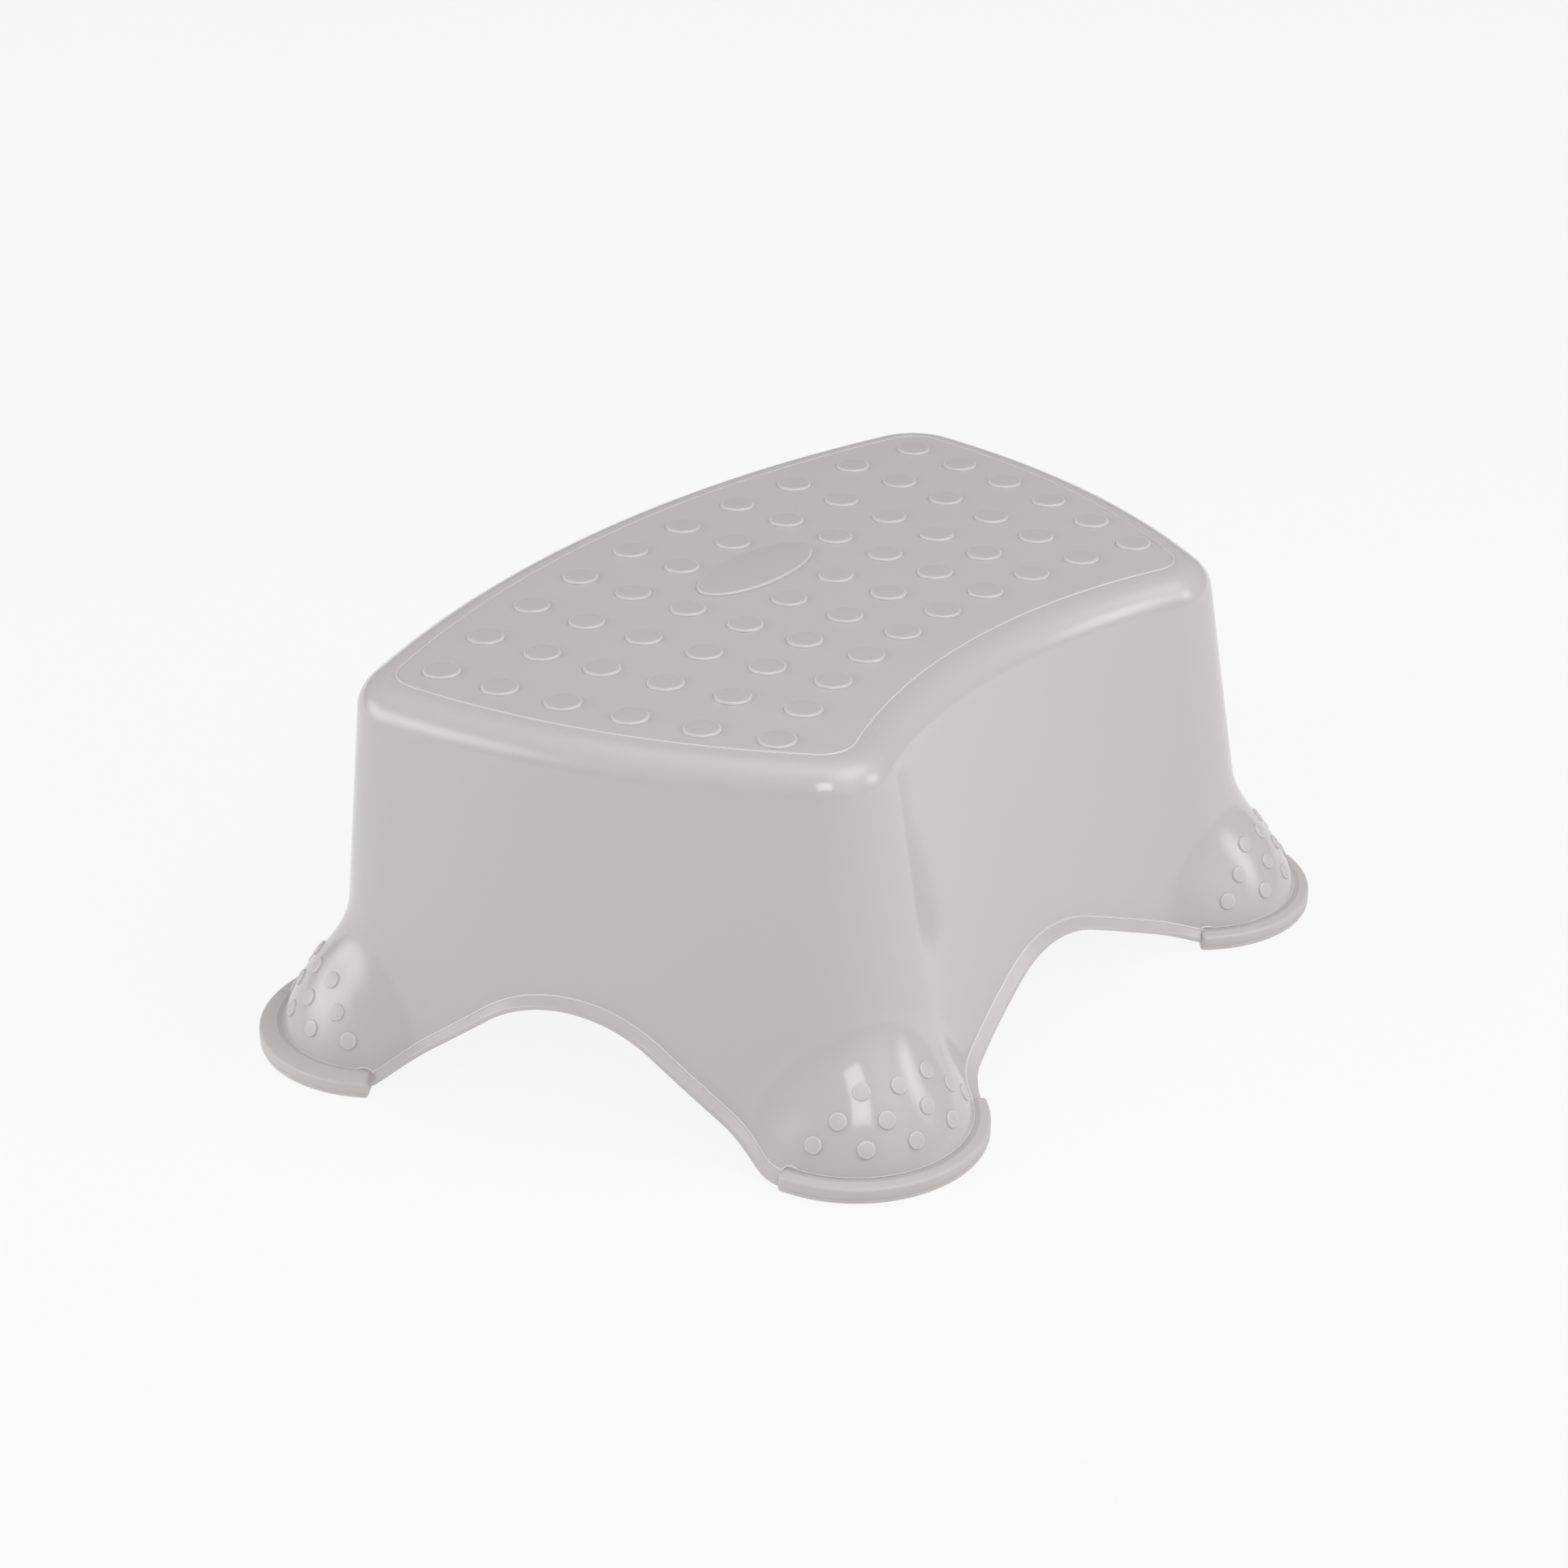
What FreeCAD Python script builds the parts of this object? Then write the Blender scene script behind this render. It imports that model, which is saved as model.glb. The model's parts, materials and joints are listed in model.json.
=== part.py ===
import FreeCAD, Part
import math
import os

# One-step stool, moulded in two shots: a hard glossy shell and soft matt grips.
# X runs along the tread, -Y is the hollow front, +Y the bowed back, +Z is up.
# The origin is on the floor, under the middle of the stool. All sizes are in millimetres.

Vec = FreeCAD.Vector

# Shell
TREAD_Z = 139.0          # top face of the tread plate
SHELL_FOOT_Z = 1.0       # underside of the shell, just clear of the floor
WALL = 3.0               # shell thickness

# Plan of the flat tread panel: corner points, how far each side bows, and the corner rounding
BACK_CORNER = (154.3, 82.5)
FRONT_CORNER = (103.5, -78.9)
BACK_BOW = 27.2
FRONT_BOW = 22.2
SIDE_BOW = 12.4
BACK_ROUND = 13.8
FRONT_ROUND = 12.5

# Shoulder and walls
SHOULDER_EDGE = 13.0     # from the panel's outline to where wall and tread planes would meet
SHOULDER_RADIUS = 12.5
BACK_SPLAY = 0.103       # slope of the walls, outward per millimetre down, at the back feet
FRONT_SPLAY = 0.162      # the same at the front feet
MIDDLE_SPLAY = 0.05      # extra slope in the middle of the hollow front wall
MIDDLE_REACH = 95.0      # half the width over which that extra slope fades out

# Feet: four domes that bulge out of the wall corners
FRONT_FOOT = (108.3, -86.8)
BACK_FOOT = (161.1, 84.9)
FRONT_FOOT_RADIUS = 43.0
BACK_FOOT_RADIUS = 40.1
FOOT_HEIGHT = 49.6
FOOT_POWER = 1.5         # 1 gives a cone, 2 gives an ellipsoid
FOOT_BLEND = 9.0         # width of the hollow where a dome runs into the wall

# Arches: height of the crown, radius of the crown, slope of the flanks, radius at the feet
SIDE_ARCH = (45.1, 50.5, 37.4, 14.0)
FRONT_ARCH = (28.9, 60.0, 23.0, 6.0)
BACK_ARCH = (38.0, 80.0, 19.5, 12.0)
SIDE_ARCH_PLACE = 0.511  # where its middle lies on the line from the front foot to the back foot
FRONT_ARCH_Y = -26.8     # where the front arch's cut starts, going forward
BACK_ARCH_Y = 64.9       # where the back arch's cut starts, going back
ARCH_REACH = 120.0       # length of each arch's cut, which ends beyond the shell
LIP = 3.2                # how far the lip along the arches stands out from the wall
LIP_HEIGHT = 2.0

# Stiffening ribs under the tread, one in each gap between two rows of studs
RIB_THICK = 1.8
RIB_DEEP = 10.5
RIB_BACK_Y = 96.0
RIB_FRONT_Y = -44.0

# Tread studs
STUD_ROWS = 10
STUDS_IN_ROW = 6
STUD_RADIUS = 6.8
STUD_RISE = 1.0
STUD_ROUND = 0.6
STUD_BACK_Y = 91.9       # the back stud on the middle line
STUD_PITCH_Y = 25.1
STUD_BOW = 20.0          # how far the end rows lie in front of the middle line
STUD_HALF_SPAN = 138.5   # the end rows' distance from the middle, at the back
STUD_TAPER = (1.95, 0.8)
STEM_RADIUS = 2.5
RUNNER_WIDE = 5.0
RUNNER_THICK = 1.6

# Oval badge
BADGE_Y = 43.5
BADGE_HALF = (30.5, 13.2)
BADGE_STUD = 2           # the place in the two middle rows that the badge takes
BADGE_ROUND = 0.6
BADGE_STEM_X = 21.0

# Foot rims
RIM_RADIUS = 47.3
RIM_HEIGHT = 6.0
RIM_ROUND = 2.4
RIM_EDGE = 0.7
RIM_INSIDE = 26.0
FRONT_RIM_ARC = (-176.0, -38.8)     # on the front left foot, anticlockwise from +X
BACK_RIM_ARC = (62.0, 214.5)        # on the back left foot

# Foot studs: three staggered rows on each dome, of three, four and five
FOOT_STUD_RADIUS = 3.1
FOOT_STUD_RISE = 0.9
FOOT_STUD_ROUND = 0.5
FOOT_STUD_ROOT = 2.0                # how deep each disc starts before the dome is cut from it
FOOT_STUD_ROWS = ((31.4, 3, 28.6), (23.3, 4, 28.6), (15.5, 5, 27.3))   # height, count, degrees apart
FRONT_STUD_MIDDLE = -109.4          # degrees, on the front left foot
BACK_STUD_MIDDLE = 146.4            # degrees, on the back left foot

# How finely the curved skins are laid out
SIDE_STEPS = 30
CORNER_STEPS = 12
SHOULDER_STEPS = 8
LEVEL_STEP = 4.0
PLATE_MARGIN = 2.0       # the skins' first ring lies on the flat plate, this far inside the shoulder
FOOT_SKIN_TOP_Z = 60.0   # the skins that only shape the feet and the lip start at this height
CUT_LOW_Z = -6.0         # the skins that only cut end at this height, under the floor
ARCH_LOW_Z = -20.0
SOLVE_STEPS = 24
SOLVE_REACH = 80.0


def circle_through(a, m, b):
    """Centre and radius of the circle through three points of the plan."""
    (ax, ay), (bx, by), (cx, cy) = a, m, b
    d = 2 * (ax * (by - cy) + bx * (cy - ay) + cx * (ay - by))
    aa, bb, cc = ax * ax + ay * ay, bx * bx + by * by, cx * cx + cy * cy
    x = (aa * (by - cy) + bb * (cy - ay) + cc * (ay - by)) / d
    y = (aa * (cx - bx) + bb * (ax - cx) + cc * (bx - ax)) / d
    return (x, y), math.hypot(ax - x, ay - y)


def side_bow_point():
    """The middle of the right-hand side, bowed out from its chord."""
    dx, dy = BACK_CORNER[0] - FRONT_CORNER[0], BACK_CORNER[1] - FRONT_CORNER[1]
    length = math.hypot(dx, dy)
    x = (BACK_CORNER[0] + FRONT_CORNER[0]) / 2 + SIDE_BOW * dy / length
    y = (BACK_CORNER[1] + FRONT_CORNER[1]) / 2 - SIDE_BOW * dx / length
    return x, y


def plan_sides():
    """The four sides of the panel, each (centre, radius, sense); sense is -1 on the hollow front."""
    xb, yb = BACK_CORNER
    xf, yf = FRONT_CORNER
    back = circle_through((-xb, yb), (0, yb + BACK_BOW), (xb, yb))
    front = circle_through((-xf, yf), (0, yf + FRONT_BOW), (xf, yf))
    right = circle_through((xb, yb), side_bow_point(), (xf, yf))
    left = ((-right[0][0], right[0][1]), right[1])
    return [(*back, 1), (*left, 1), (*front, -1), (*right, 1)]


def corner_centre(one, two, radius, near):
    """Centre of the rounding that touches two sides from inside, found next to a corner point."""
    (x0, y0), r0, g0 = one
    (x1, y1), r1, g1 = two
    a, b = r0 - g0 * radius, r1 - g1 * radius
    d = math.hypot(x1 - x0, y1 - y0)
    along = (a * a - b * b + d * d) / (2 * d)
    across = math.sqrt(max(a * a - along * along, 0))
    ux, uy = (x1 - x0) / d, (y1 - y0) / d
    found = [(x0 + along * ux - s * across * uy, y0 + along * uy + s * across * ux) for s in (-1, 1)]
    return min(found, key=lambda p: math.hypot(p[0] - near[0], p[1] - near[1]))


SIDES = plan_sides()
# The corner after each side, anticlockwise from the back: left back, left front, right front, right back
ROUNDS = [BACK_ROUND, FRONT_ROUND, FRONT_ROUND, BACK_ROUND]
POINTS = [
    (-BACK_CORNER[0], BACK_CORNER[1]),
    (-FRONT_CORNER[0], FRONT_CORNER[1]),
    FRONT_CORNER,
    BACK_CORNER,
]
CORNERS = [corner_centre(SIDES[k], SIDES[(k + 1) % 4], ROUNDS[k], POINTS[k]) for k in range(4)]
FEET = {
    "front_left": (-FRONT_FOOT[0], FRONT_FOOT[1], FRONT_FOOT_RADIUS),
    "front_right": (FRONT_FOOT[0], FRONT_FOOT[1], FRONT_FOOT_RADIUS),
    "back_left": (-BACK_FOOT[0], BACK_FOOT[1], BACK_FOOT_RADIUS),
    "back_right": (BACK_FOOT[0], BACK_FOOT[1], BACK_FOOT_RADIUS),
}


def side_normal(k, point):
    """Outward direction of side k at a point."""
    (x, y), _, sense = SIDES[k]
    d = math.hypot(point[0] - x, point[1] - y)
    return sense * (point[0] - x) / d, sense * (point[1] - y) / d


def turned(start, end, steps, centre, radius, sense):
    """Plan points with outward directions along an arc from one direction to another."""
    turn = (end - start + math.pi) % (2 * math.pi) - math.pi
    found = []
    for i in range(steps):
        a = start + turn * i / steps
        c, s = math.cos(a), math.sin(a)
        found.append((centre[0] + radius * c, centre[1] + radius * s, sense * c, sense * s))
    return found


def plan_rays():
    """Points of the panel's outline with their outward directions, anticlockwise from the right back."""
    rays = []
    for k in range(4):
        centre, radius, sense = SIDES[k]
        before, after = CORNERS[k - 1], CORNERS[k]
        start = math.atan2(before[1] - centre[1], before[0] - centre[0])
        end = math.atan2(after[1] - centre[1], after[0] - centre[0])
        rays += turned(start, end, SIDE_STEPS, centre, radius, sense)
        n0, n1 = side_normal(k, after), side_normal((k + 1) % 4, after)
        start, end = math.atan2(n0[1], n0[0]), math.atan2(n1[1], n1[0])
        rays += turned(start, end, CORNER_STEPS, after, ROUNDS[k], 1)
    return rays


def splay(x, y):
    """How far the wall moves out for each millimetre down, at a place in plan."""
    along = (y - FRONT_FOOT[1]) / (BACK_FOOT[1] - FRONT_FOOT[1])
    along = min(max(along, -0.3), 1.3)
    slope = FRONT_SPLAY + (BACK_SPLAY - FRONT_SPLAY) * along
    if y < 0 and abs(x) < MIDDLE_REACH:
        slope += MIDDLE_SPLAY * (1 - (x / MIDDLE_REACH) ** 2) ** 2
    return slope


def dome(x, y, z):
    """Roughly the distance outside the nearest foot dome."""
    best = math.inf
    for cx, cy, radius in FEET.values():
        q = math.hypot(x - cx, y - cy) / radius
        up = max(z, 0) / FOOT_HEIGHT
        best = min(best, ((q ** FOOT_POWER + up ** FOOT_POWER) ** (1 / FOOT_POWER) - 1) * radius)
    return best


def reach(ray, z, outside):
    """How far along a ray the skin lies at height z, for a skin that much outside the outer face."""
    x0, y0, nx, ny = ray

    def beyond(t):
        x, y = x0 + nx * t, y0 + ny * t
        wall = t - SHOULDER_EDGE - (TREAD_Z - z) * splay(x, y)
        foot = dome(x, y, z)
        near = max(FOOT_BLEND - abs(wall - foot), 0) / FOOT_BLEND
        return min(wall, foot) - near * near * FOOT_BLEND / 4 - outside

    low, high = 0.0, SOLVE_REACH
    for _ in range(SOLVE_STEPS):
        middle = (low + high) / 2
        if beyond(middle) < 0:
            low = middle
        else:
            high = middle
    return (low + high) / 2


def skin_rings(outside, top_z, bottom_z, shouldered):
    """Rings of points from the top of a skin to its bottom."""
    rays = plan_rays()
    rings = []
    first = top_z
    if shouldered:
        first = top_z - SHOULDER_RADIUS
        radius = SHOULDER_RADIUS + outside
        plate = TREAD_Z + outside
        for i in range(-1, SHOULDER_STEPS + 1):
            ring = []
            for x, y, nx, ny in rays:
                tilt = math.atan(splay(x, y))
                start = SHOULDER_EDGE - SHOULDER_RADIUS * math.tan((math.pi / 2 - tilt) / 2)
                a = (math.pi / 2 - tilt) * max(i, 0) / SHOULDER_STEPS
                t = start + radius * math.sin(a) + min(i, 0) * PLATE_MARGIN
                z = plate - radius * (1 - math.cos(a))
                ring.append(Vec(x + nx * t, y + ny * t, z))
            rings.append(ring)
    levels = max(2, round((first - bottom_z) / LEVEL_STEP))
    for i in range(1 if shouldered else 0, levels + 1):
        z = first + (bottom_z - first) * i / levels
        ring = []
        for ray in rays:
            t = reach(ray, z, outside)
            ring.append(Vec(ray[0] + ray[2] * t, ray[1] + ray[3] * t, z))
        rings.append(ring)
    return rings


def skin_solid(rings):
    """A closed solid: one smooth skin through the rings, with a flat top and bottom."""
    around, down = len(rings[0]), len(rings)
    poles = [[rings[j][i] for j in range(down)] for i in range(around)]
    v_knots = list(range(down - 2))
    v_mults = [4] + [1] * (down - 4) + [4]
    surface = Part.BSplineSurface()
    u_knots = list(range(around + 1))
    surface.buildFromPolesMultsKnots(
        poles, [1] * (around + 1), v_mults, u_knots, v_knots, True, False, 3, 3)
    skin = surface.toShape()
    caps = []
    for row in (0, down - 1):
        curve = surface.vIso(v_knots[0 if row == 0 else -1])
        caps.append(Part.Face(Part.Wire([curve.toShape()])))
    shell = Part.makeShell([skin] + caps)
    shell.sewShape()
    solid = Part.Solid(shell)
    if solid.Volume < 0:
        solid.reverse()
    return solid


def arch_face(arch, grow):
    """The arch's opening as a flat face in X and Z, grown by a margin."""
    crown, radius, degrees, foot = arch
    crown, radius, foot = crown + grow, radius + grow, foot - grow
    base = SHELL_FOOT_Z + grow
    slope = math.radians(degrees)
    s, c, t = math.sin(slope), math.cos(slope), math.tan(slope)
    x1, z1 = radius * s, crown - radius * (1 - c)
    z2 = base + foot * (1 - c)
    x2 = x1 + (z1 - z2) / t
    x3 = x2 + foot * s
    half = math.radians(degrees / 2)
    bend = (x3 - foot * math.sin(half), base + foot * (1 - math.cos(half)))
    edges = [
        Part.Arc(Vec(-x1, 0, z1), Vec(0, 0, crown), Vec(x1, 0, z1)).toShape(),
        Part.makeLine(Vec(x1, 0, z1), Vec(x2, 0, z2)),
        Part.Arc(Vec(x2, 0, z2), Vec(bend[0], 0, bend[1]), Vec(x3, 0, base)).toShape(),
        Part.makeLine(Vec(x3, 0, base), Vec(x3, 0, ARCH_LOW_Z)),
        Part.makeLine(Vec(x3, 0, ARCH_LOW_Z), Vec(-x3, 0, ARCH_LOW_Z)),
        Part.makeLine(Vec(-x3, 0, ARCH_LOW_Z), Vec(-x3, 0, base)),
        Part.Arc(Vec(-x3, 0, base), Vec(-bend[0], 0, bend[1]), Vec(-x2, 0, z2)).toShape(),
        Part.makeLine(Vec(-x2, 0, z2), Vec(-x1, 0, z1)),
    ]
    return Part.Face(Part.Wire(edges))


def arch_tool(arch, grow, start, towards):
    """A block in the arch's shape, from a point of the plan outwards in a direction, in degrees."""
    block = arch_face(arch, grow).extrude(Vec(0, ARCH_REACH, 0))
    block.rotate(Vec(0, 0, 0), Vec(0, 0, 1), towards - 90)
    block.translate(Vec(start[0], start[1], 0))
    return block


def arch_tools(grow):
    """The four arches. Those in the ends face squarely away from the line between two feet."""
    dx, dy = BACK_FOOT[0] - FRONT_FOOT[0], BACK_FOOT[1] - FRONT_FOOT[1]
    turn = math.degrees(math.atan2(-dx, dy))
    middle = (FRONT_FOOT[0] + SIDE_ARCH_PLACE * dx, FRONT_FOOT[1] + SIDE_ARCH_PLACE * dy)
    return [
        arch_tool(SIDE_ARCH, grow, middle, turn),
        arch_tool(SIDE_ARCH, grow, (-middle[0], middle[1]), 180 - turn),
        arch_tool(FRONT_ARCH, grow, (0, FRONT_ARCH_Y), -90),
        arch_tool(BACK_ARCH, grow, (0, BACK_ARCH_Y), 90),
    ]


def stud_span(along):
    """Half the width between the two end rows, that many studs forward from the back."""
    return STUD_HALF_SPAN - STUD_TAPER[0] * along - STUD_TAPER[1] * along * along


def ribs():
    """Thin upright plates under the tread, fanned between the rows of studs."""
    found = []
    for i in range(1, STUD_ROWS):
        share = (2 * i - STUD_ROWS) / (STUD_ROWS - 1)
        ends = []
        for y in (RIB_BACK_Y, RIB_FRONT_Y):
            along = (STUD_BACK_Y - y) / STUD_PITCH_Y
            ends.append((share * stud_span(along), y - STUD_BOW * share * share))
        (x0, y0), (x1, y1) = ends
        length = math.hypot(x1 - x0, y1 - y0)
        rib = Part.makeBox(length, RIB_THICK, RIB_DEEP + WALL)
        rib.translate(Vec(0, -RIB_THICK / 2, TREAD_Z - WALL - RIB_DEEP))
        rib.rotate(Vec(0, 0, 0), Vec(0, 0, 1), math.degrees(math.atan2(y1 - y0, x1 - x0)))
        rib.translate(Vec(x0, y0, 0))
        found.append(rib)
    return found


def stud_points(row):
    """Where the studs of one row stand in plan, from the back to the front."""
    share = (2 * row - STUD_ROWS + 1) / (STUD_ROWS - 1)
    points = []
    for j in range(STUDS_IN_ROW):
        y = STUD_BACK_Y - STUD_PITCH_Y * j - STUD_BOW * share * share
        points.append((share * stud_span(j), y))
    return points


def has_stud(row, place):
    """False at the two places that the badge takes."""
    return place != BADGE_STUD or row not in (STUD_ROWS // 2 - 1, STUD_ROWS // 2)


def disc(base, axis, radius, height, rounding):
    """A round disc on an axis, with its far edge rounded."""
    body = Part.makeCylinder(radius, height, base, axis)
    top = base + axis * height
    rims = [e for e in body.Edges if e.Closed]
    rim = min(rims, key=lambda e: (e.Curve.Center - top).Length)
    return body.makeFillet(rounding, [rim])


def stud_head(x, y):
    return disc(Vec(x, y, TREAD_Z), Vec(0, 0, 1), STUD_RADIUS, STUD_RISE, STUD_ROUND)


def stem(x, y):
    """A soft pin through the tread plate, from a stud or the badge to half-way down the runner."""
    height = WALL + RUNNER_THICK / 2
    return Part.makeCylinder(STEM_RADIUS, height, Vec(x, y, TREAD_Z - height))


def runner(points):
    """The flat rib under the tread that joins a row of stems."""
    z = TREAD_Z - WALL - RUNNER_THICK
    pieces = []
    for (x0, y0), (x1, y1) in zip(points, points[1:]):
        length = math.hypot(x1 - x0, y1 - y0)
        bar = Part.makeBox(length, RUNNER_WIDE, RUNNER_THICK)
        bar.translate(Vec(0, -RUNNER_WIDE / 2, z))
        bar.rotate(Vec(0, 0, 0), Vec(0, 0, 1), math.degrees(math.atan2(y1 - y0, x1 - x0)))
        bar.translate(Vec(x0, y0, 0))
        pieces.append(bar)
    for x, y in points:
        pieces.append(Part.makeCylinder(RUNNER_WIDE / 2, RUNNER_THICK, Vec(x, y, z)))
    return pieces


def tread_grip(row):
    """One row of studs as a single piece: heads, stems through the tread, and the runner below."""
    points = stud_points(row)
    pieces = runner(points)
    for place, (x, y) in enumerate(points):
        if has_stud(row, place):
            pieces += [stud_head(x, y), stem(x, y)]
    return pieces[0].multiFuse(pieces[1:]).removeSplitter()


def badge_stems():
    return [stem(s * BADGE_STEM_X, BADGE_Y) for s in (-1, 1)]


def badge():
    """A plain oval plate with a rounded edge, held by two stems."""
    ellipse = Part.Ellipse(Vec(0, BADGE_Y, TREAD_Z), *BADGE_HALF).toShape()
    plate = Part.Face(Part.Wire([ellipse])).extrude(Vec(0, 0, STUD_RISE))
    edge = max(plate.Edges, key=lambda e: e.CenterOfMass.z)
    plate = plate.makeFillet(BADGE_ROUND, [edge])
    return plate.multiFuse(badge_stems()).removeSplitter()


def stem_holes():
    """The places in the tread plate that the stems fill."""
    holes = badge_stems()
    for row in range(STUD_ROWS):
        for place, (x, y) in enumerate(stud_points(row)):
            if has_stud(row, place):
                holes.append(stem(x, y))
    return holes


def rim_block(foot, arc):
    """A rim before it is fitted to its dome: a turned section, swept over part of a circle."""
    cx, cy, _ = FEET[foot]
    r, h, e = RIM_RADIUS, RIM_HEIGHT, RIM_EDGE
    k = RIM_ROUND * math.sqrt(0.5)
    section = Part.Wire([
        Part.makeLine(Vec(RIM_INSIDE, 0, 0), Vec(r - e, 0, 0)),
        Part.makeLine(Vec(r - e, 0, 0), Vec(r, 0, e)),
        Part.makeLine(Vec(r, 0, e), Vec(r, 0, h - RIM_ROUND)),
        Part.Arc(Vec(r, 0, h - RIM_ROUND), Vec(r - RIM_ROUND + k, 0, h - RIM_ROUND + k),
                 Vec(r - RIM_ROUND, 0, h)).toShape(),
        Part.makeLine(Vec(r - RIM_ROUND, 0, h), Vec(RIM_INSIDE, 0, h)),
        Part.makeLine(Vec(RIM_INSIDE, 0, h), Vec(RIM_INSIDE, 0, 0)),
    ])
    block = Part.Face(section).revolve(Vec(0, 0, 0), Vec(0, 0, 1), arc[1] - arc[0])
    block.rotate(Vec(0, 0, 0), Vec(0, 0, 1), arc[0])
    block.translate(Vec(cx, cy, 0))
    return block


def mirrored(arc):
    """An arc in degrees, seen in the middle plane of the stool."""
    return 180 - arc[1], 180 - arc[0]


def foot_studs(foot, middle):
    """Discs that stand squarely on one dome, rooted inside it."""
    cx, cy, radius = FEET[foot]
    found = []
    for z, count, step in FOOT_STUD_ROWS:
        share = 1 - (z / FOOT_HEIGHT) ** FOOT_POWER
        r = radius * share ** (1 / FOOT_POWER)
        up = (z / FOOT_HEIGHT) ** (FOOT_POWER - 1) * radius / FOOT_HEIGHT
        out = (r / radius) ** (FOOT_POWER - 1)
        for i in range(count):
            a = math.radians(middle + step * (i - (count - 1) / 2))
            axis = Vec(out * math.cos(a), out * math.sin(a), up).normalize()
            root = Vec(cx + r * math.cos(a), cy + r * math.sin(a), z) - axis * FOOT_STUD_ROOT
            height = FOOT_STUD_ROOT + FOOT_STUD_RISE
            found.append(disc(root, axis, FOOT_STUD_RADIUS, height, FOOT_STUD_ROUND))
    return found


def body_shell(rims, low):
    """The whole hard shell, with the places for the soft parts cut out of it."""
    outer = skin_solid(skin_rings(0.0, TREAD_Z, SHELL_FOOT_Z, True))
    inner = skin_solid(skin_rings(-WALL, TREAD_Z, CUT_LOW_Z, True))
    lip = skin_solid(skin_rings(LIP, FOOT_SKIN_TOP_Z, SHELL_FOOT_Z, False))
    box = lip.BoundBox
    slab = Part.makeBox(box.XLength, box.YLength, LIP_HEIGHT, Vec(box.XMin, box.YMin, SHELL_FOOT_Z))
    band = lip.common(slab.multiFuse(arch_tools(LIP_HEIGHT)))
    body = outer.fuse(band).cut(inner)
    body = body.cut(Part.makeCompound(arch_tools(0.0)))
    body = body.cut(Part.makeCompound(rims).cut(low))
    body = body.multiFuse([rib.common(inner) for rib in ribs()])
    return body.cut(Part.makeCompound(stem_holes()))


def write(name, shape):
    """Writes one sub-part and prints how many solids it has, whether it is valid, and its volume."""
    shape.exportStep(os.path.join("parts", name + ".step"))
    print(name, len(shape.Solids), shape.isValid(), round(shape.Volume))


def main():
    os.makedirs("parts", exist_ok=True)
    low = skin_solid(skin_rings(0.0, FOOT_SKIN_TOP_Z, CUT_LOW_Z, False))
    rims = {}
    for foot in FEET:
        arc = FRONT_RIM_ARC if foot.startswith("front") else BACK_RIM_ARC
        rims[foot] = rim_block(foot, mirrored(arc) if foot.endswith("right") else arc)

    write("body_shell", body_shell(list(rims.values()), low))
    for row in range(STUD_ROWS):
        write("tread_grip_row_%02d" % (row + 1), tread_grip(row))
    write("tread_badge", badge())
    for foot, block in rims.items():
        write(foot + "_foot_rim", block.cut(low))
        middle = FRONT_STUD_MIDDLE if foot.startswith("front") else BACK_STUD_MIDDLE
        middle = 180 - middle if foot.endswith("right") else middle
        studs = Part.makeCompound(foot_studs(foot, middle)).cut(low)
        write(foot + "_foot_studs", studs)


main()
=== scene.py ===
import json
import math

import bmesh
import bpy
import numpy as np
from mathutils import Matrix, Vector
from mathutils.bvhtree import BVHTree
from mathutils.geometry import delaunay_2d_cdt

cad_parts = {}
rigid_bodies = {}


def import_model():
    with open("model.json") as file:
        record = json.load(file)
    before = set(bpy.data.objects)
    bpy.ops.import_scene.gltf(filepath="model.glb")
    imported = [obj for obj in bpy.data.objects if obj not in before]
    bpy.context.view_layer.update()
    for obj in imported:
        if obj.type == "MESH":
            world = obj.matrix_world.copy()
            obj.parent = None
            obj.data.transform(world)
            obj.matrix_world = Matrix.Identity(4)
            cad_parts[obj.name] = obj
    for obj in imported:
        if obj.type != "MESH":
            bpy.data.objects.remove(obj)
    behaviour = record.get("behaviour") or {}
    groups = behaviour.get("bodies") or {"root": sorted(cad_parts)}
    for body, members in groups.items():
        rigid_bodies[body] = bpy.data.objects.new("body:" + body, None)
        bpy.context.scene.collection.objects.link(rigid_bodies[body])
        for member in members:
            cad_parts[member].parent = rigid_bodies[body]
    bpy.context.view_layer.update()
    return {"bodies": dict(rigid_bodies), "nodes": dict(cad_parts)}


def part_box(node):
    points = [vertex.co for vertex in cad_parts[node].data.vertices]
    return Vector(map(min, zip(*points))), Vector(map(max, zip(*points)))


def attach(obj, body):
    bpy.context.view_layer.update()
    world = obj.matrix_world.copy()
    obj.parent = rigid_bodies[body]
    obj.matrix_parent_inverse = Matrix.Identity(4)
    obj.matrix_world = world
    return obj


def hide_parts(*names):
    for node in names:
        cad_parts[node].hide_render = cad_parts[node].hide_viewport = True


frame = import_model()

# A one-step stool: a glossy shell with soft matt grips. Everything is in metres, in the CAD frame:
# X along the tread, -Y the hollow front, +Y the bowed back, +Z up, the floor at Z = 0.

ROOT = next(iter(frame["bodies"]))
MM = 0.001
UPWARDS = Vector((0, 0, 1))

# Heights that the CAD model gives
SHELL_LOW, SHELL_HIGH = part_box("body_shell")
TREAD_Z = SHELL_HIGH.z
SHELL_FOOT_Z = SHELL_LOW.z
STUD_TOP_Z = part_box("tread_badge")[1].z
RIM_TOP_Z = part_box("front_left_foot_rim")[1].z
RUNNER_LOW_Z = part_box("tread_grip_row_01")[0].z

# Plan of the flat tread panel: corner points, how far each side bows, and the corner rounding
BACK_CORNER = (154.3 * MM, 82.5 * MM)
FRONT_CORNER = (103.5 * MM, -78.9 * MM)
BACK_BOW = 27.2 * MM
FRONT_BOW = 22.2 * MM
SIDE_BOW = 12.4 * MM
BACK_ROUND = 13.8 * MM
FRONT_ROUND = 12.5 * MM

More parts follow.
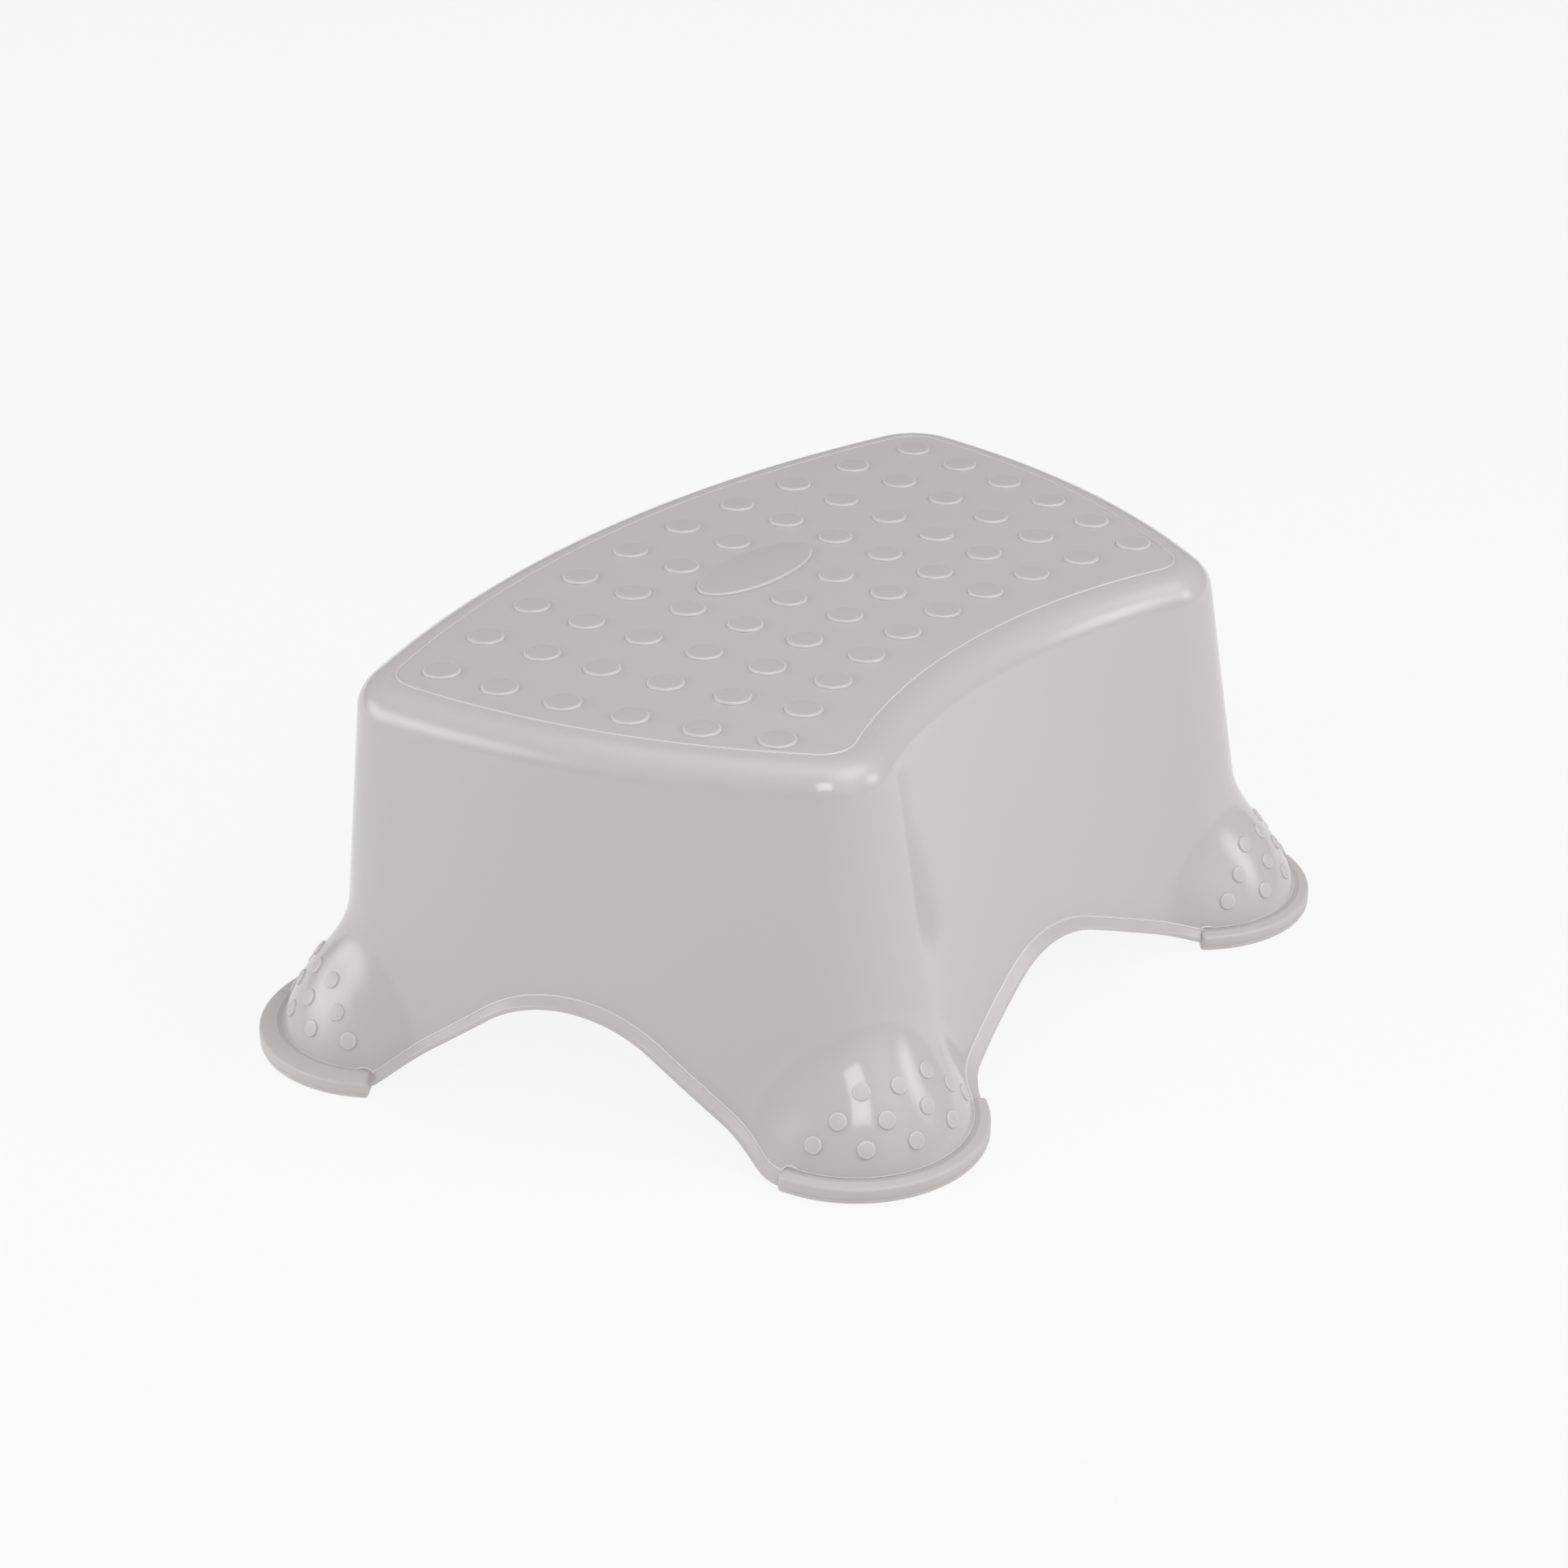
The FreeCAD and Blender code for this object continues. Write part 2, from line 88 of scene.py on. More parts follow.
# Shoulder and walls
WALL = 3.0 * MM
SHOULDER_EDGE = 13.0 * MM
SHOULDER_RADIUS = 12.5 * MM
BACK_SPLAY = 0.103            # how far the walls move out for each unit down, level with the back feet
FRONT_SPLAY = 0.162           # and level with the front feet
SPLAY_REACH = 0.3             # how far past the feet it still changes, as a share of their distance
MIDDLE_SPLAY = 0.05           # how much more there is in the middle of the front wall
MIDDLE_REACH = 95.0 * MM      # half the width over which that fades away
MATT_SHARE = 0.09             # how much of the shoulder's bend is matt before the gloss begins
RIDGE_HALF = 0.42 * MM        # the fine ridge along the panel's outline
RIDGE_RISE = 0.34 * MM
RIDGE = ((-3, 0), (-1, 0), (-0.55, 0.7), (0, 1), (0.55, 0.7), (1, 0), (3, 0))   # across and up, as shares

# Foot domes
FRONT_FOOT = (108.3 * MM, -86.8 * MM)
BACK_FOOT = (161.1 * MM, 84.9 * MM)
FRONT_FOOT_RADIUS = 43.0 * MM
BACK_FOOT_RADIUS = 40.1 * MM
FOOT_HEIGHT = 49.6 * MM
FOOT_POWER = 1.5              # 2 would make a dome a half ellipsoid, and less makes it more pointed
FOOT_BLEND = 9.0 * MM         # how far apart the wall and a dome may be and still blend

# Arches: height of the crown, radius of the crown, slope of the flanks, radius at the feet
SIDE_ARCH = (45.1 * MM, 50.5 * MM, 37.4, 14.0 * MM)
FRONT_ARCH = (28.9 * MM, 60.0 * MM, 23.0, 6.0 * MM)
BACK_ARCH = (38.0 * MM, 80.0 * MM, 19.5, 12.0 * MM)
SIDE_ARCH_PLACE = 0.511       # its middle, on the line from the front foot to the back foot
FRONT_ARCH_Y = -26.8 * MM     # where the front arch's cut starts, going forward
BACK_ARCH_Y = 64.9 * MM       # where the back arch's cut starts, going back

# The lip along the arches: an upright face, and a skirt that flares out to it from the wall
LIP = 3.0 * MM
LIP_FACE = 1.5 * MM
LIP_FLARE = 2.5 * MM
LIP_LINE = 0.4 * MM           # radius of the fine raised line along the top of the skirt
LIP_LINE_TURN = math.radians(130)
LIP_LINE_STEPS = 6
LIP_ROUND = 0.6 * MM          # rounding between the skirt and the upright face
LIP_ROUND_STEPS = 5
LIP_LOW_ROUND = 0.3 * MM      # rounding under the upright face
LIP_LOW_ROUND_STEPS = 3
INNER_ROUND = 0.4 * MM        # rounding of the lower edge on the inside
INNER_ROUND_MIDDLE = 0.1 * MM   # how far its middle lies in from the corner, each way
EDGE_LIMIT = 60.0 * MM        # higher than any arch

# How finely the shell is laid out
SIDE_STEPS = 92
CORNER_STEPS = 36
SHOULDER_STEPS = 13
WALL_STEPS = 66
INSIDE_STEPS = 26
SOLVE_STEPS = 26              # halvings in each search for the skin
SOLVE_REACH = 80.0 * MM       # how far outside the panel's outline the search goes
SHARP_ANGLE = math.radians(50)

# The shell's materials, in the order of its slots, and those of a stud or the badge
# The line slot takes a colour lighter than the gloss: a painted highlight on the fine raised lines.
GLOSS, MATT, UNDER, LINE_HIGHLIGHT = range(4)
# The edge slot takes a colour lighter than the grip: a painted highlight on the rounded edges.
FACE, EDGE_HIGHLIGHT = range(2)


# ---------------------------------------------------------------- shape of the shell

def circle_through(a, m, b):
    """Centre and radius of the circle through three points of the plan."""
    (ax, ay), (bx, by), (cx, cy) = a, m, b
    d = 2 * (ax * (by - cy) + bx * (cy - ay) + cx * (ay - by))
    aa, bb, cc = ax * ax + ay * ay, bx * bx + by * by, cx * cx + cy * cy
    x = (aa * (by - cy) + bb * (cy - ay) + cc * (ay - by)) / d
    y = (aa * (cx - bx) + bb * (ax - cx) + cc * (bx - ax)) / d
    return (x, y), math.hypot(ax - x, ay - y)


def side_bow_point():
    """The middle of the right-hand side, bowed out from its chord."""
    dx, dy = BACK_CORNER[0] - FRONT_CORNER[0], BACK_CORNER[1] - FRONT_CORNER[1]
    length = math.hypot(dx, dy)
    x = (BACK_CORNER[0] + FRONT_CORNER[0]) / 2 + SIDE_BOW * dy / length
    y = (BACK_CORNER[1] + FRONT_CORNER[1]) / 2 - SIDE_BOW * dx / length
    return x, y


def plan_sides():
    """The four sides of the panel, each (centre, radius, sense); sense is -1 on the hollow front."""
    xb, yb = BACK_CORNER
    xf, yf = FRONT_CORNER
    back = circle_through((-xb, yb), (0, yb + BACK_BOW), (xb, yb))
    front = circle_through((-xf, yf), (0, yf + FRONT_BOW), (xf, yf))
    right = circle_through((xb, yb), side_bow_point(), (xf, yf))
    left = ((-right[0][0], right[0][1]), right[1])
    return [(*back, 1), (*left, 1), (*front, -1), (*right, 1)]


def corner_centre(one, two, radius, near):
    """Centre of the rounding that touches two sides from inside, found next to a corner point."""
    (x0, y0), r0, g0 = one
    (x1, y1), r1, g1 = two
    a, b = r0 - g0 * radius, r1 - g1 * radius
    d = math.hypot(x1 - x0, y1 - y0)
    along = (a * a - b * b + d * d) / (2 * d)
    across = math.sqrt(max(a * a - along * along, 0))
    ux, uy = (x1 - x0) / d, (y1 - y0) / d
    found = [(x0 + along * ux - s * across * uy, y0 + along * uy + s * across * ux) for s in (-1, 1)]
    return min(found, key=lambda p: math.hypot(p[0] - near[0], p[1] - near[1]))


SIDES = plan_sides()
ROUNDS = [BACK_ROUND, FRONT_ROUND, FRONT_ROUND, BACK_ROUND]
POINTS = [
    (-BACK_CORNER[0], BACK_CORNER[1]),
    (-FRONT_CORNER[0], FRONT_CORNER[1]),
    FRONT_CORNER,
    BACK_CORNER,
]
CORNERS = [corner_centre(SIDES[k], SIDES[(k + 1) % 4], ROUNDS[k], POINTS[k]) for k in range(4)]
FEET = {
    "front_left": (-FRONT_FOOT[0], FRONT_FOOT[1], FRONT_FOOT_RADIUS),
    "front_right": (FRONT_FOOT[0], FRONT_FOOT[1], FRONT_FOOT_RADIUS),
    "back_left": (-BACK_FOOT[0], BACK_FOOT[1], BACK_FOOT_RADIUS),
    "back_right": (BACK_FOOT[0], BACK_FOOT[1], BACK_FOOT_RADIUS),
}


def side_angle(k, point):
    """Direction of the outward normal of side k at a point."""
    (x, y), _, sense = SIDES[k]
    return math.atan2(sense * (point[1] - y), sense * (point[0] - x))


def turned(start, end, steps, centre, radius, sense):
    """Plan points with outward directions along an arc from one direction to another."""
    turn = (end - start + math.pi) % (2 * math.pi) - math.pi
    a = start + turn * np.arange(steps) / steps
    way = np.stack([np.cos(a), np.sin(a)], 1)
    return np.concatenate([np.array(centre) + radius * way, sense * way], 1)


def plan_rays():
    """Points of the panel's outline with their outward directions, anticlockwise from the right back."""
    rays = []
    for k in range(4):
        centre, radius, sense = SIDES[k]
        before, after = CORNERS[k - 1], CORNERS[k]
        start = math.atan2(before[1] - centre[1], before[0] - centre[0])
        end = math.atan2(after[1] - centre[1], after[0] - centre[0])
        rays.append(turned(start, end, SIDE_STEPS, centre, radius, sense))
        start, end = side_angle(k, after), side_angle((k + 1) % 4, after)
        rays.append(turned(start, end, CORNER_STEPS, after, ROUNDS[k], 1))
    return np.concatenate(rays)


RAYS = plan_rays()
AROUND = len(RAYS)


def splay(x, y):
    """How far the wall moves out for each unit down, at places in plan."""
    along = (y - FRONT_FOOT[1]) / (BACK_FOOT[1] - FRONT_FOOT[1])
    along = np.clip(along, -SPLAY_REACH, 1 + SPLAY_REACH)
    slope = FRONT_SPLAY + (BACK_SPLAY - FRONT_SPLAY) * along
    middle = np.where((y < 0) & (np.abs(x) < MIDDLE_REACH), (1 - (x / MIDDLE_REACH) ** 2) ** 2, 0)
    return slope + MIDDLE_SPLAY * middle


def dome(x, y, z):
    """Roughly the distance outside the nearest foot dome."""
    up = np.maximum(z, 0) / FOOT_HEIGHT
    best = np.full(np.shape(x), np.inf)
    for cx, cy, radius in FEET.values():
        q = np.hypot(x - cx, y - cy) / radius
        best = np.minimum(best, ((q ** FOOT_POWER + up ** FOOT_POWER) ** (1 / FOOT_POWER) - 1) * radius)
    return best


def ring_at(z, outside):
    """The ring of a skin that lies a distance outside the outer face, at heights z, one per ray."""
    z = np.broadcast_to(z, AROUND)
    low, high = np.zeros(AROUND), np.full(AROUND, SOLVE_REACH)
    for _ in range(SOLVE_STEPS):
        t = (low + high) / 2
        x, y = RAYS[:, 0] + RAYS[:, 2] * t, RAYS[:, 1] + RAYS[:, 3] * t
        wall = t - SHOULDER_EDGE - (TREAD_Z - z) * splay(x, y)
        foot = dome(x, y, z)
        near = np.maximum(FOOT_BLEND - np.abs(wall - foot), 0) / FOOT_BLEND   # for a smooth minimum
        inside = np.minimum(wall, foot) - near * near * FOOT_BLEND / 4 < outside
        low, high = np.where(inside, t, low), np.where(inside, high, t)
    t = (low + high) / 2
    return np.stack([RAYS[:, 0] + RAYS[:, 2] * t, RAYS[:, 1] + RAYS[:, 3] * t, z], 1)


def ring_flat(offset, z):
    """A ring at a fixed distance outside the panel's outline."""
    offset, z = np.broadcast_to(offset, AROUND), np.broadcast_to(z, AROUND)
    return np.stack([RAYS[:, 0] + RAYS[:, 2] * offset, RAYS[:, 1] + RAYS[:, 3] * offset, z], 1)


TILT = np.arctan(splay(RAYS[:, 0], RAYS[:, 1]))
SHOULDER_START = SHOULDER_EDGE - SHOULDER_RADIUS * np.tan((math.pi / 2 - TILT) / 2)


def shoulder_ring(share, outside):
    """A ring of the rounded shoulder, from 0 at the tread to 1 at the wall."""
    radius = SHOULDER_RADIUS + outside
    a = (math.pi / 2 - TILT) * share
    return ring_flat(SHOULDER_START + radius * np.sin(a), TREAD_Z + outside - radius * (1 - np.cos(a)))


def arch_height(arch, grow, s):
    """Height of an arch's edge at a distance s from its middle, for an arch grown by a margin."""
    crown, radius, degrees, foot = arch
    crown, radius, foot = crown + grow, radius + grow, foot - grow
    base = SHELL_FOOT_Z + grow
    slope = math.radians(degrees)
    x1, z1 = radius * math.sin(slope), crown - radius * (1 - math.cos(slope))
    z2 = base + foot * (1 - math.cos(slope))
    x2 = x1 + (z1 - z2) / math.tan(slope)
    x3 = x2 + foot * math.sin(slope)
    s = np.abs(s)
    top = crown - radius + np.sqrt(np.maximum(radius ** 2 - s ** 2, 0))
    flank = z1 - (s - x1) * math.tan(slope)
    toe = base + foot - np.sqrt(np.maximum(foot ** 2 - (x3 - s) ** 2, 0))
    return np.where(s <= x1, top, np.where(s <= x2, flank, np.where(s <= x3, toe, base)))


def edge_height_at(x, y, grow):
    """Height of the shell's lower edge above places in plan."""
    dx, dy = BACK_FOOT[0] - FRONT_FOOT[0], BACK_FOOT[1] - FRONT_FOOT[1]
    turn = math.atan2(-dx, dy)
    mx, my = FRONT_FOOT[0] + SIDE_ARCH_PLACE * dx, FRONT_FOOT[1] + SIDE_ARCH_PLACE * dy
    tools = [
        (SIDE_ARCH, mx, my, turn),
        (SIDE_ARCH, -mx, my, math.pi - turn),
        (FRONT_ARCH, 0, FRONT_ARCH_Y, -math.pi / 2),
        (BACK_ARCH, 0, BACK_ARCH_Y, math.pi / 2),
    ]
    height = np.full(np.shape(x), SHELL_FOOT_Z + grow)
    for arch, cx, cy, way in tools:
        c, s = math.cos(way), math.sin(way)
        out = (x - cx) * c + (y - cy) * s
        along = -(x - cx) * s + (y - cy) * c
        height = np.where(out > 0, np.maximum(height, arch_height(arch, grow, along)), height)
    return height


def edge_heights(grow):
    """Height of the lower edge on each ray, where the skin meets the arches."""
    low, high = np.full(AROUND, SHELL_FOOT_Z), np.full(AROUND, EDGE_LIMIT)
    for _ in range(SOLVE_STEPS):
        z = (low + high) / 2
        p = ring_at(z, 0.0)
        under = z < edge_height_at(p[:, 0], p[:, 1], grow)
        low, high = np.where(under, z, low), np.where(under, high, z)
    return (low + high) / 2


# ---------------------------------------------------------------- mesh helpers

def new_object(name, verts, faces, materials, slots=None, smooth=True):
    """A mesh object from lists; slots gives a material index per face. Closed skins face outwards."""
    mesh = bpy.data.meshes.new(name)
    mesh.from_pydata([tuple(map(float, v)) for v in verts], [], [tuple(map(int, f)) for f in faces])
    for m in materials:
        mesh.materials.append(m)
    if slots is not None:
        mesh.polygons.foreach_set("material_index", [int(s) for s in slots])
    if smooth:
        work = bmesh.new()
        work.from_mesh(mesh)
        bmesh.ops.recalc_face_normals(work, faces=work.faces)
        work.to_mesh(mesh)
        work.free()
        mesh.polygons.foreach_set("use_smooth", [True] * len(mesh.polygons))
        mesh.set_sharp_from_angle(angle=SHARP_ANGLE)
    mesh.update()
    obj = bpy.data.objects.new(name, mesh)
    bpy.context.scene.collection.objects.link(obj)
    return obj


class Builder:
    """Collects the vertices and faces of one piece."""

    def __init__(self):
        self.verts, self.faces, self.slots = [], [], []

    def add(self, points):
        start = len(self.verts)
        self.verts += [tuple(map(float, p)) for p in points]
        return list(range(start, start + len(points)))

    def face(self, corners, slot=0):
        self.faces.append(corners)
        self.slots.append(slot)

    def bridge(self, a, b, slot=0):
        for i in range(len(a)):
            j = (i + 1) % len(a)
            self.face([a[i], b[i], b[j], a[j]], slot)

    def rings(self, rings, slots=0):
        """Joins rings of points in turn and returns their indices. slots is one slot, or one per step."""
        made = [self.add(r) for r in rings]
        for k in range(len(made) - 1):
            self.bridge(made[k], made[k + 1], slots[k] if isinstance(slots, list) else slots)
        return made

    def object(self, name, materials):
        return new_object(name, self.verts, self.faces, materials, self.slots)


def turned_solid(builder, profile, place, steps, highlight_rings):
    """A closed turned solid. profile runs from the axis at the top to the axis at the bottom, as (r, z),
    and place turns (x, y, z) about that axis into a point. highlight_rings lists the steps of the profile that
    take the edge's material."""
    top = builder.add([place(0, 0, profile[0][1])])[0]
    rings = []
    for r, z in profile[1:-1]:
        rings.append(builder.add([
            place(r * math.cos(2 * math.pi * i / steps), r * math.sin(2 * math.pi * i / steps), z)
            for i in range(steps)]))
    bottom = builder.add([place(0, 0, profile[-1][1])])[0]
    for i in range(steps):
        j = (i + 1) % steps
        builder.face([top, rings[0][i], rings[0][j]])
        builder.face([bottom, rings[-1][j], rings[-1][i]])
    # The rounded edge takes the lighter edge material: a painted highlight.
    for k, (a, b) in enumerate(zip(rings, rings[1:])):
        builder.bridge(a, b, EDGE_HIGHLIGHT if k in highlight_rings else FACE)


# ---------------------------------------------------------------- tread grips

STUD_ROWS = 10
STUDS_IN_ROW = 6
STUD_RADIUS = 6.8 * MM
STUD_BACK_Y = 91.9 * MM
STUD_PITCH_Y = 25.1 * MM
STUD_BOW = 20.0 * MM
STUD_HALF_SPAN = 138.5 * MM
STUD_TAPER = (1.95 * MM, 0.8 * MM)
STUD_GAP = 0.04 * MM          # width of the fine groove round each stud and the badge
STUD_POCKET = 0.07 * MM       # depth of that groove
POCKET_LAP = 0.2 * MM         # how far the groove's floor reaches in under the stud
STUD_SUNK = 0.1 * MM          # how far the stud goes on below that floor
STUD_EDGE = 0.85 * MM         # rounding of its top edge
STUD_EDGE_STEPS = 6
STUD_CROWN = 0.08 * MM        # how far its top is domed
STUD_TOP_SHARES = (0.25, 0.5, 0.75, 0.9, 1.0)
# These rings of the rounded top edge take the lighter edge material: a painted highlight.
STUD_HIGHLIGHT_RINGS = range(len(STUD_TOP_SHARES) - 1, len(STUD_TOP_SHARES) - 1 + STUD_EDGE_STEPS)
STUD_STEPS = 56
STEM_RADIUS = 2.5 * MM
STEM_END_Z = RUNNER_LOW_Z + 0.5 * MM
RUNNER_WIDE = 5.0 * MM
RUNNER_SOFT = 0.4 * MM        # softening of its lower edges
RUNNER_END_STEPS = 10
SOFT_MIDDLE = 0.3             # where a softened edge has its middle point, as a share of the softening
BADGE_Y = 43.5 * MM
BADGE_HALF = (30.5 * MM, 13.2 * MM)
BADGE_EDGE = 0.75 * MM        # rounding of its top edge
BADGE_STEPS = 120
BADGE_STUD = 2                # the badge takes the third stud of the two middle rows


def stud_span(along):
    """Half the width between the two end rows, that many studs forward from the back."""
    return STUD_HALF_SPAN - STUD_TAPER[0] * along - STUD_TAPER[1] * along * along


def stud_points(row):
    """Where the studs of one row stand in plan, from the back to the front."""
    share = (2 * row - STUD_ROWS + 1) / (STUD_ROWS - 1)
    return [(share * stud_span(j), STUD_BACK_Y - STUD_PITCH_Y * j - STUD_BOW * share * share)
            for j in range(STUDS_IN_ROW)]


def has_stud(row, place):
    """False at the two places that the badge takes."""
    return place != BADGE_STUD or row not in (STUD_ROWS // 2 - 1, STUD_ROWS // 2)


ALL_STUDS = [point for row in range(STUD_ROWS)
             for place, point in enumerate(stud_points(row)) if has_stud(row, place)]


def stud_profile():
    """Half section of a tread stud with its stem: a slightly domed top and a rounded edge."""
    flat = STUD_RADIUS - STUD_EDGE
    shoulder = STUD_TOP_Z - STUD_CROWN
    profile = [(0, STUD_TOP_Z)]
    for share in STUD_TOP_SHARES:
        profile.append((flat * share, shoulder + STUD_CROWN * (1 - share * share)))
    for i in range(1, STUD_EDGE_STEPS + 1):
        a = math.pi / 2 * i / STUD_EDGE_STEPS
        profile.append((flat + STUD_EDGE * math.sin(a), shoulder - STUD_EDGE * (1 - math.cos(a))))
    low = TREAD_Z - STUD_POCKET - STUD_SUNK
    return profile + [(STUD_RADIUS, low), (STEM_RADIUS, low), (STEM_RADIUS, STEM_END_Z), (0, STEM_END_Z)]


def capsule_outline(points, half, steps):
    """A closed outline round a path of plan points, with round ends of that many steps."""
    def normal(a, b):
        d = math.hypot(b[0] - a[0], b[1] - a[1])
        return -(b[1] - a[1]) / d, (b[0] - a[0]) / d
    left, right = [], []
    for i, (x, y) in enumerate(points):
        n = [normal(points[k], points[k + 1]) for k in (max(i - 1, 0), min(i, len(points) - 2))]
        nx, ny = (n[0][0] + n[1][0]) / 2, (n[0][1] + n[1][1]) / 2
        left.append((x + nx * half, y + ny * half))
        right.append((x - nx * half, y - ny * half))

    def cap(centre, towards):
        a0 = math.atan2(towards[1], towards[0])
        return [(centre[0] + half * math.cos(a0 - math.pi * i / steps),
                 centre[1] + half * math.sin(a0 - math.pi * i / steps)) for i in range(1, steps)]
    end, start = points[-1], points[0]
    loop = left + cap(end, normal(points[-2], end)) + right[::-1]
    back = normal(start, points[1])
    return loop + cap(start, (-back[0], -back[1]))


def soft_plate(builder, path, half, high, low, soft, end_steps, slot):
    """A plate under the tread that follows a plan path, with round ends and softened lower edges."""
    middle = soft * SOFT_MIDDLE
    levels = [(half, high), (half, low + soft), (half - middle, low + middle), (half - soft, low)]
    rings = [[(x, y, z) for x, y in capsule_outline(path, h, end_steps)] for h, z in levels]
    made = builder.rings([ring[::-1] for ring in rings], slot)
    builder.face(made[0][::-1], slot)
    builder.face(made[-1], slot)


def make_tread_row(row, material, edge_highlight_material):
    """One row of studs on their stems, and the flat soft runner under the tread that joins the stems."""
    builder = Builder()
    points = stud_points(row)
    for place, (x, y) in enumerate(points):
        if has_stud(row, place):
            turned_solid(builder, stud_profile(), lambda u, v, z, x=x, y=y: (x + u, y + v, z),
                         STUD_STEPS, STUD_HIGHLIGHT_RINGS)
    soft_plate(builder, points, RUNNER_WIDE / 2, TREAD_Z - WALL, RUNNER_LOW_Z, RUNNER_SOFT,
               RUNNER_END_STEPS, FACE)
    node = "tread_grip_row_%02d" % (row + 1)
    obj = builder.object("tread_studs_%02d" % (row + 1), [material, edge_highlight_material])
    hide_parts(node)
    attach(obj, ROOT)
    return obj


def badge_ring(inset, z):
    """A ring set in from the badge's outline by a true distance."""
    a, b = BADGE_HALF
    points = []
    for i in range(BADGE_STEPS):
        t = 2 * math.pi * i / BADGE_STEPS
        nx, ny = b * math.cos(t), a * math.sin(t)
        d = math.hypot(nx, ny)
        points.append((a * math.cos(t) - inset * nx / d, BADGE_Y + b * math.sin(t) - inset * ny / d, z))
    return points


def make_badge(material, edge_highlight_material):
    """A plain flat oval with a rounded edge."""
    builder = Builder()
    edge, top = BADGE_EDGE, STUD_TOP_Z
    rings = [badge_ring(0, TREAD_Z - STUD_POCKET - STUD_SUNK), badge_ring(0, top - edge)]
    for i in range(1, STUD_EDGE_STEPS + 1):
        a = math.pi / 2 * i / STUD_EDGE_STEPS
        rings.append(badge_ring(edge * (1 - math.cos(a)), top - edge * (1 - math.sin(a))))
    # The rounded edge takes the lighter edge material: a painted highlight.
    made = builder.rings(rings, [FACE] + [EDGE_HIGHLIGHT] * STUD_EDGE_STEPS)
    builder.face(made[-1], FACE)
    builder.face(made[0][::-1], FACE)
    obj = builder.object("oval_badge", [material, edge_highlight_material])
    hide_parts("tread_badge")
    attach(obj, ROOT)
    return obj


# ---------------------------------------------------------------- shell

def inside(point, loop):
    """True if a plan point lies inside a closed loop."""
    x, y = point
    odd = False
    for (x0, y0), (x1, y1) in zip(loop, loop[1:] + loop[:1]):
        if (y0 > y) != (y1 > y) and x < x0 + (y - y0) * (x1 - x0) / (y1 - y0):
            odd = not odd
    return odd


SAME_POINT = 1e-9             # plan points nearer than this are one, in metres


def circle(x, y, radius):
    """Plan points round a stud."""
    turns = [2 * math.pi * i / STUD_STEPS for i in range(STUD_STEPS)]
    return [(x + radius * math.cos(a), y + radius * math.sin(a)) for a in turns]


def pockets():
    """The pockets round the studs and the badge, each as the plan loops of its mouth and of its floor."""
    found = []
    for x, y in ALL_STUDS:
        found.append((circle(x, y, STUD_RADIUS + STUD_GAP), circle(x, y, STUD_RADIUS - POCKET_LAP)))
    mouth, floor = [[p[:2] for p in badge_ring(inset, 0)] for inset in (-STUD_GAP, POCKET_LAP)]
    return found + [(mouth, floor)]


def box_of(loop):
    """The lowest and highest x, then the lowest and highest y, of a plan loop."""
    xs, ys = zip(*loop)
    return min(xs), max(xs), min(ys), max(ys)


def tread_plate(builder, outline_ring, slot):
    """The flat top inside a ring, with a shallow pocket round each stud and the badge."""
    mouths = [mouth for mouth, _ in pockets()]
    coords = [Vector(builder.verts[i][:2]) for i in outline_ring]
    edges = [(i, (i + 1) % len(coords)) for i in range(len(coords))]
    for loop in mouths:
        start = len(coords)
        coords += [Vector(p) for p in loop]
        edges += [(start + i, start + (i + 1) % len(loop)) for i in range(len(loop))]
    found, _, triangles, source, _, _ = delaunay_2d_cdt(coords, edges, [], 1, SAME_POINT)

    index = []
    for k, v in enumerate(found):
        same = [s for s in source[k] if s < len(outline_ring)]
        index.append(outline_ring[same[0]] if same else builder.add([(v[0], v[1], TREAD_Z)])[0])
    boxes = [box_of(loop) for loop in mouths]
    for tri in triangles:
        cx = sum(found[i][0] for i in tri) / 3
        cy = sum(found[i][1] for i in tri) / 3
        near = [loop for loop, (x0, x1, y0, y1) in zip(mouths, boxes) if x0 < cx < x1 and y0 < cy < y1]
        if not any(inside((cx, cy), loop) for loop in near):
            builder.face([index[i] for i in tri], slot)

    by_source = {s: index[k] for k, given in enumerate(source) for s in given}
    start = len(outline_ring)
    for mouth, floor in pockets():
        rim = [by_source[start + i] for i in range(len(mouth))]
        start += len(mouth)
        low = builder.add([(x, y, TREAD_Z - STUD_POCKET) for x, y in floor])
        wall = builder.add([(x, y, TREAD_Z - STUD_POCKET) for x, y in mouth])
        builder.bridge(rim, wall, slot)
        builder.bridge(wall, low, slot)
        builder.face(low, slot)


RIB_THICK = 1.8 * MM
RIB_TOP_Z = TREAD_Z - WALL + 0.5 * MM   # half a millimetre inside the plate
RIB_LOW_Z = TREAD_Z - 13.5 * MM
RIB_SOFT = 0.35 * MM
RIB_END_STEPS = 6
RIB_BACK_Y = 96.0 * MM
RIB_FRONT_Y = -44.0 * MM


def ribs(builder, slot):
    """Thin upright plates under the tread, fanned between the rows of studs."""
    for i in range(1, STUD_ROWS):
        share = (2 * i - STUD_ROWS) / (STUD_ROWS - 1)
        ends = []
        for y in (RIB_BACK_Y, RIB_FRONT_Y):
            along = (STUD_BACK_Y - y) / STUD_PITCH_Y
            ends.append((share * stud_span(along), y - STUD_BOW * share * share))
        soft_plate(builder, ends, RIB_THICK / 2, RIB_TOP_Z, RIB_LOW_Z, RIB_SOFT, RIB_END_STEPS, slot)


def rounded(before, corner, after, radius, steps):
    """Points of the arc that rounds the corner of a path of (height, distance) points."""
    a, p, b = Vector(before), Vector(corner), Vector(after)
    to_a, to_b = (a - p).normalized(), (b - p).normalized()
    half = to_a.angle(to_b) / 2
    centre = p + (to_a + to_b).normalized() * radius / math.sin(half)
    start = p + to_a * radius / math.tan(half) - centre
    end = p + to_b * radius / math.tan(half) - centre
    turn = start.angle_signed(end)
    found = []
    for i in range(steps + 1):
        found.append(tuple(centre + Matrix.Rotation(-turn * i / steps, 2) @ start))
    return found


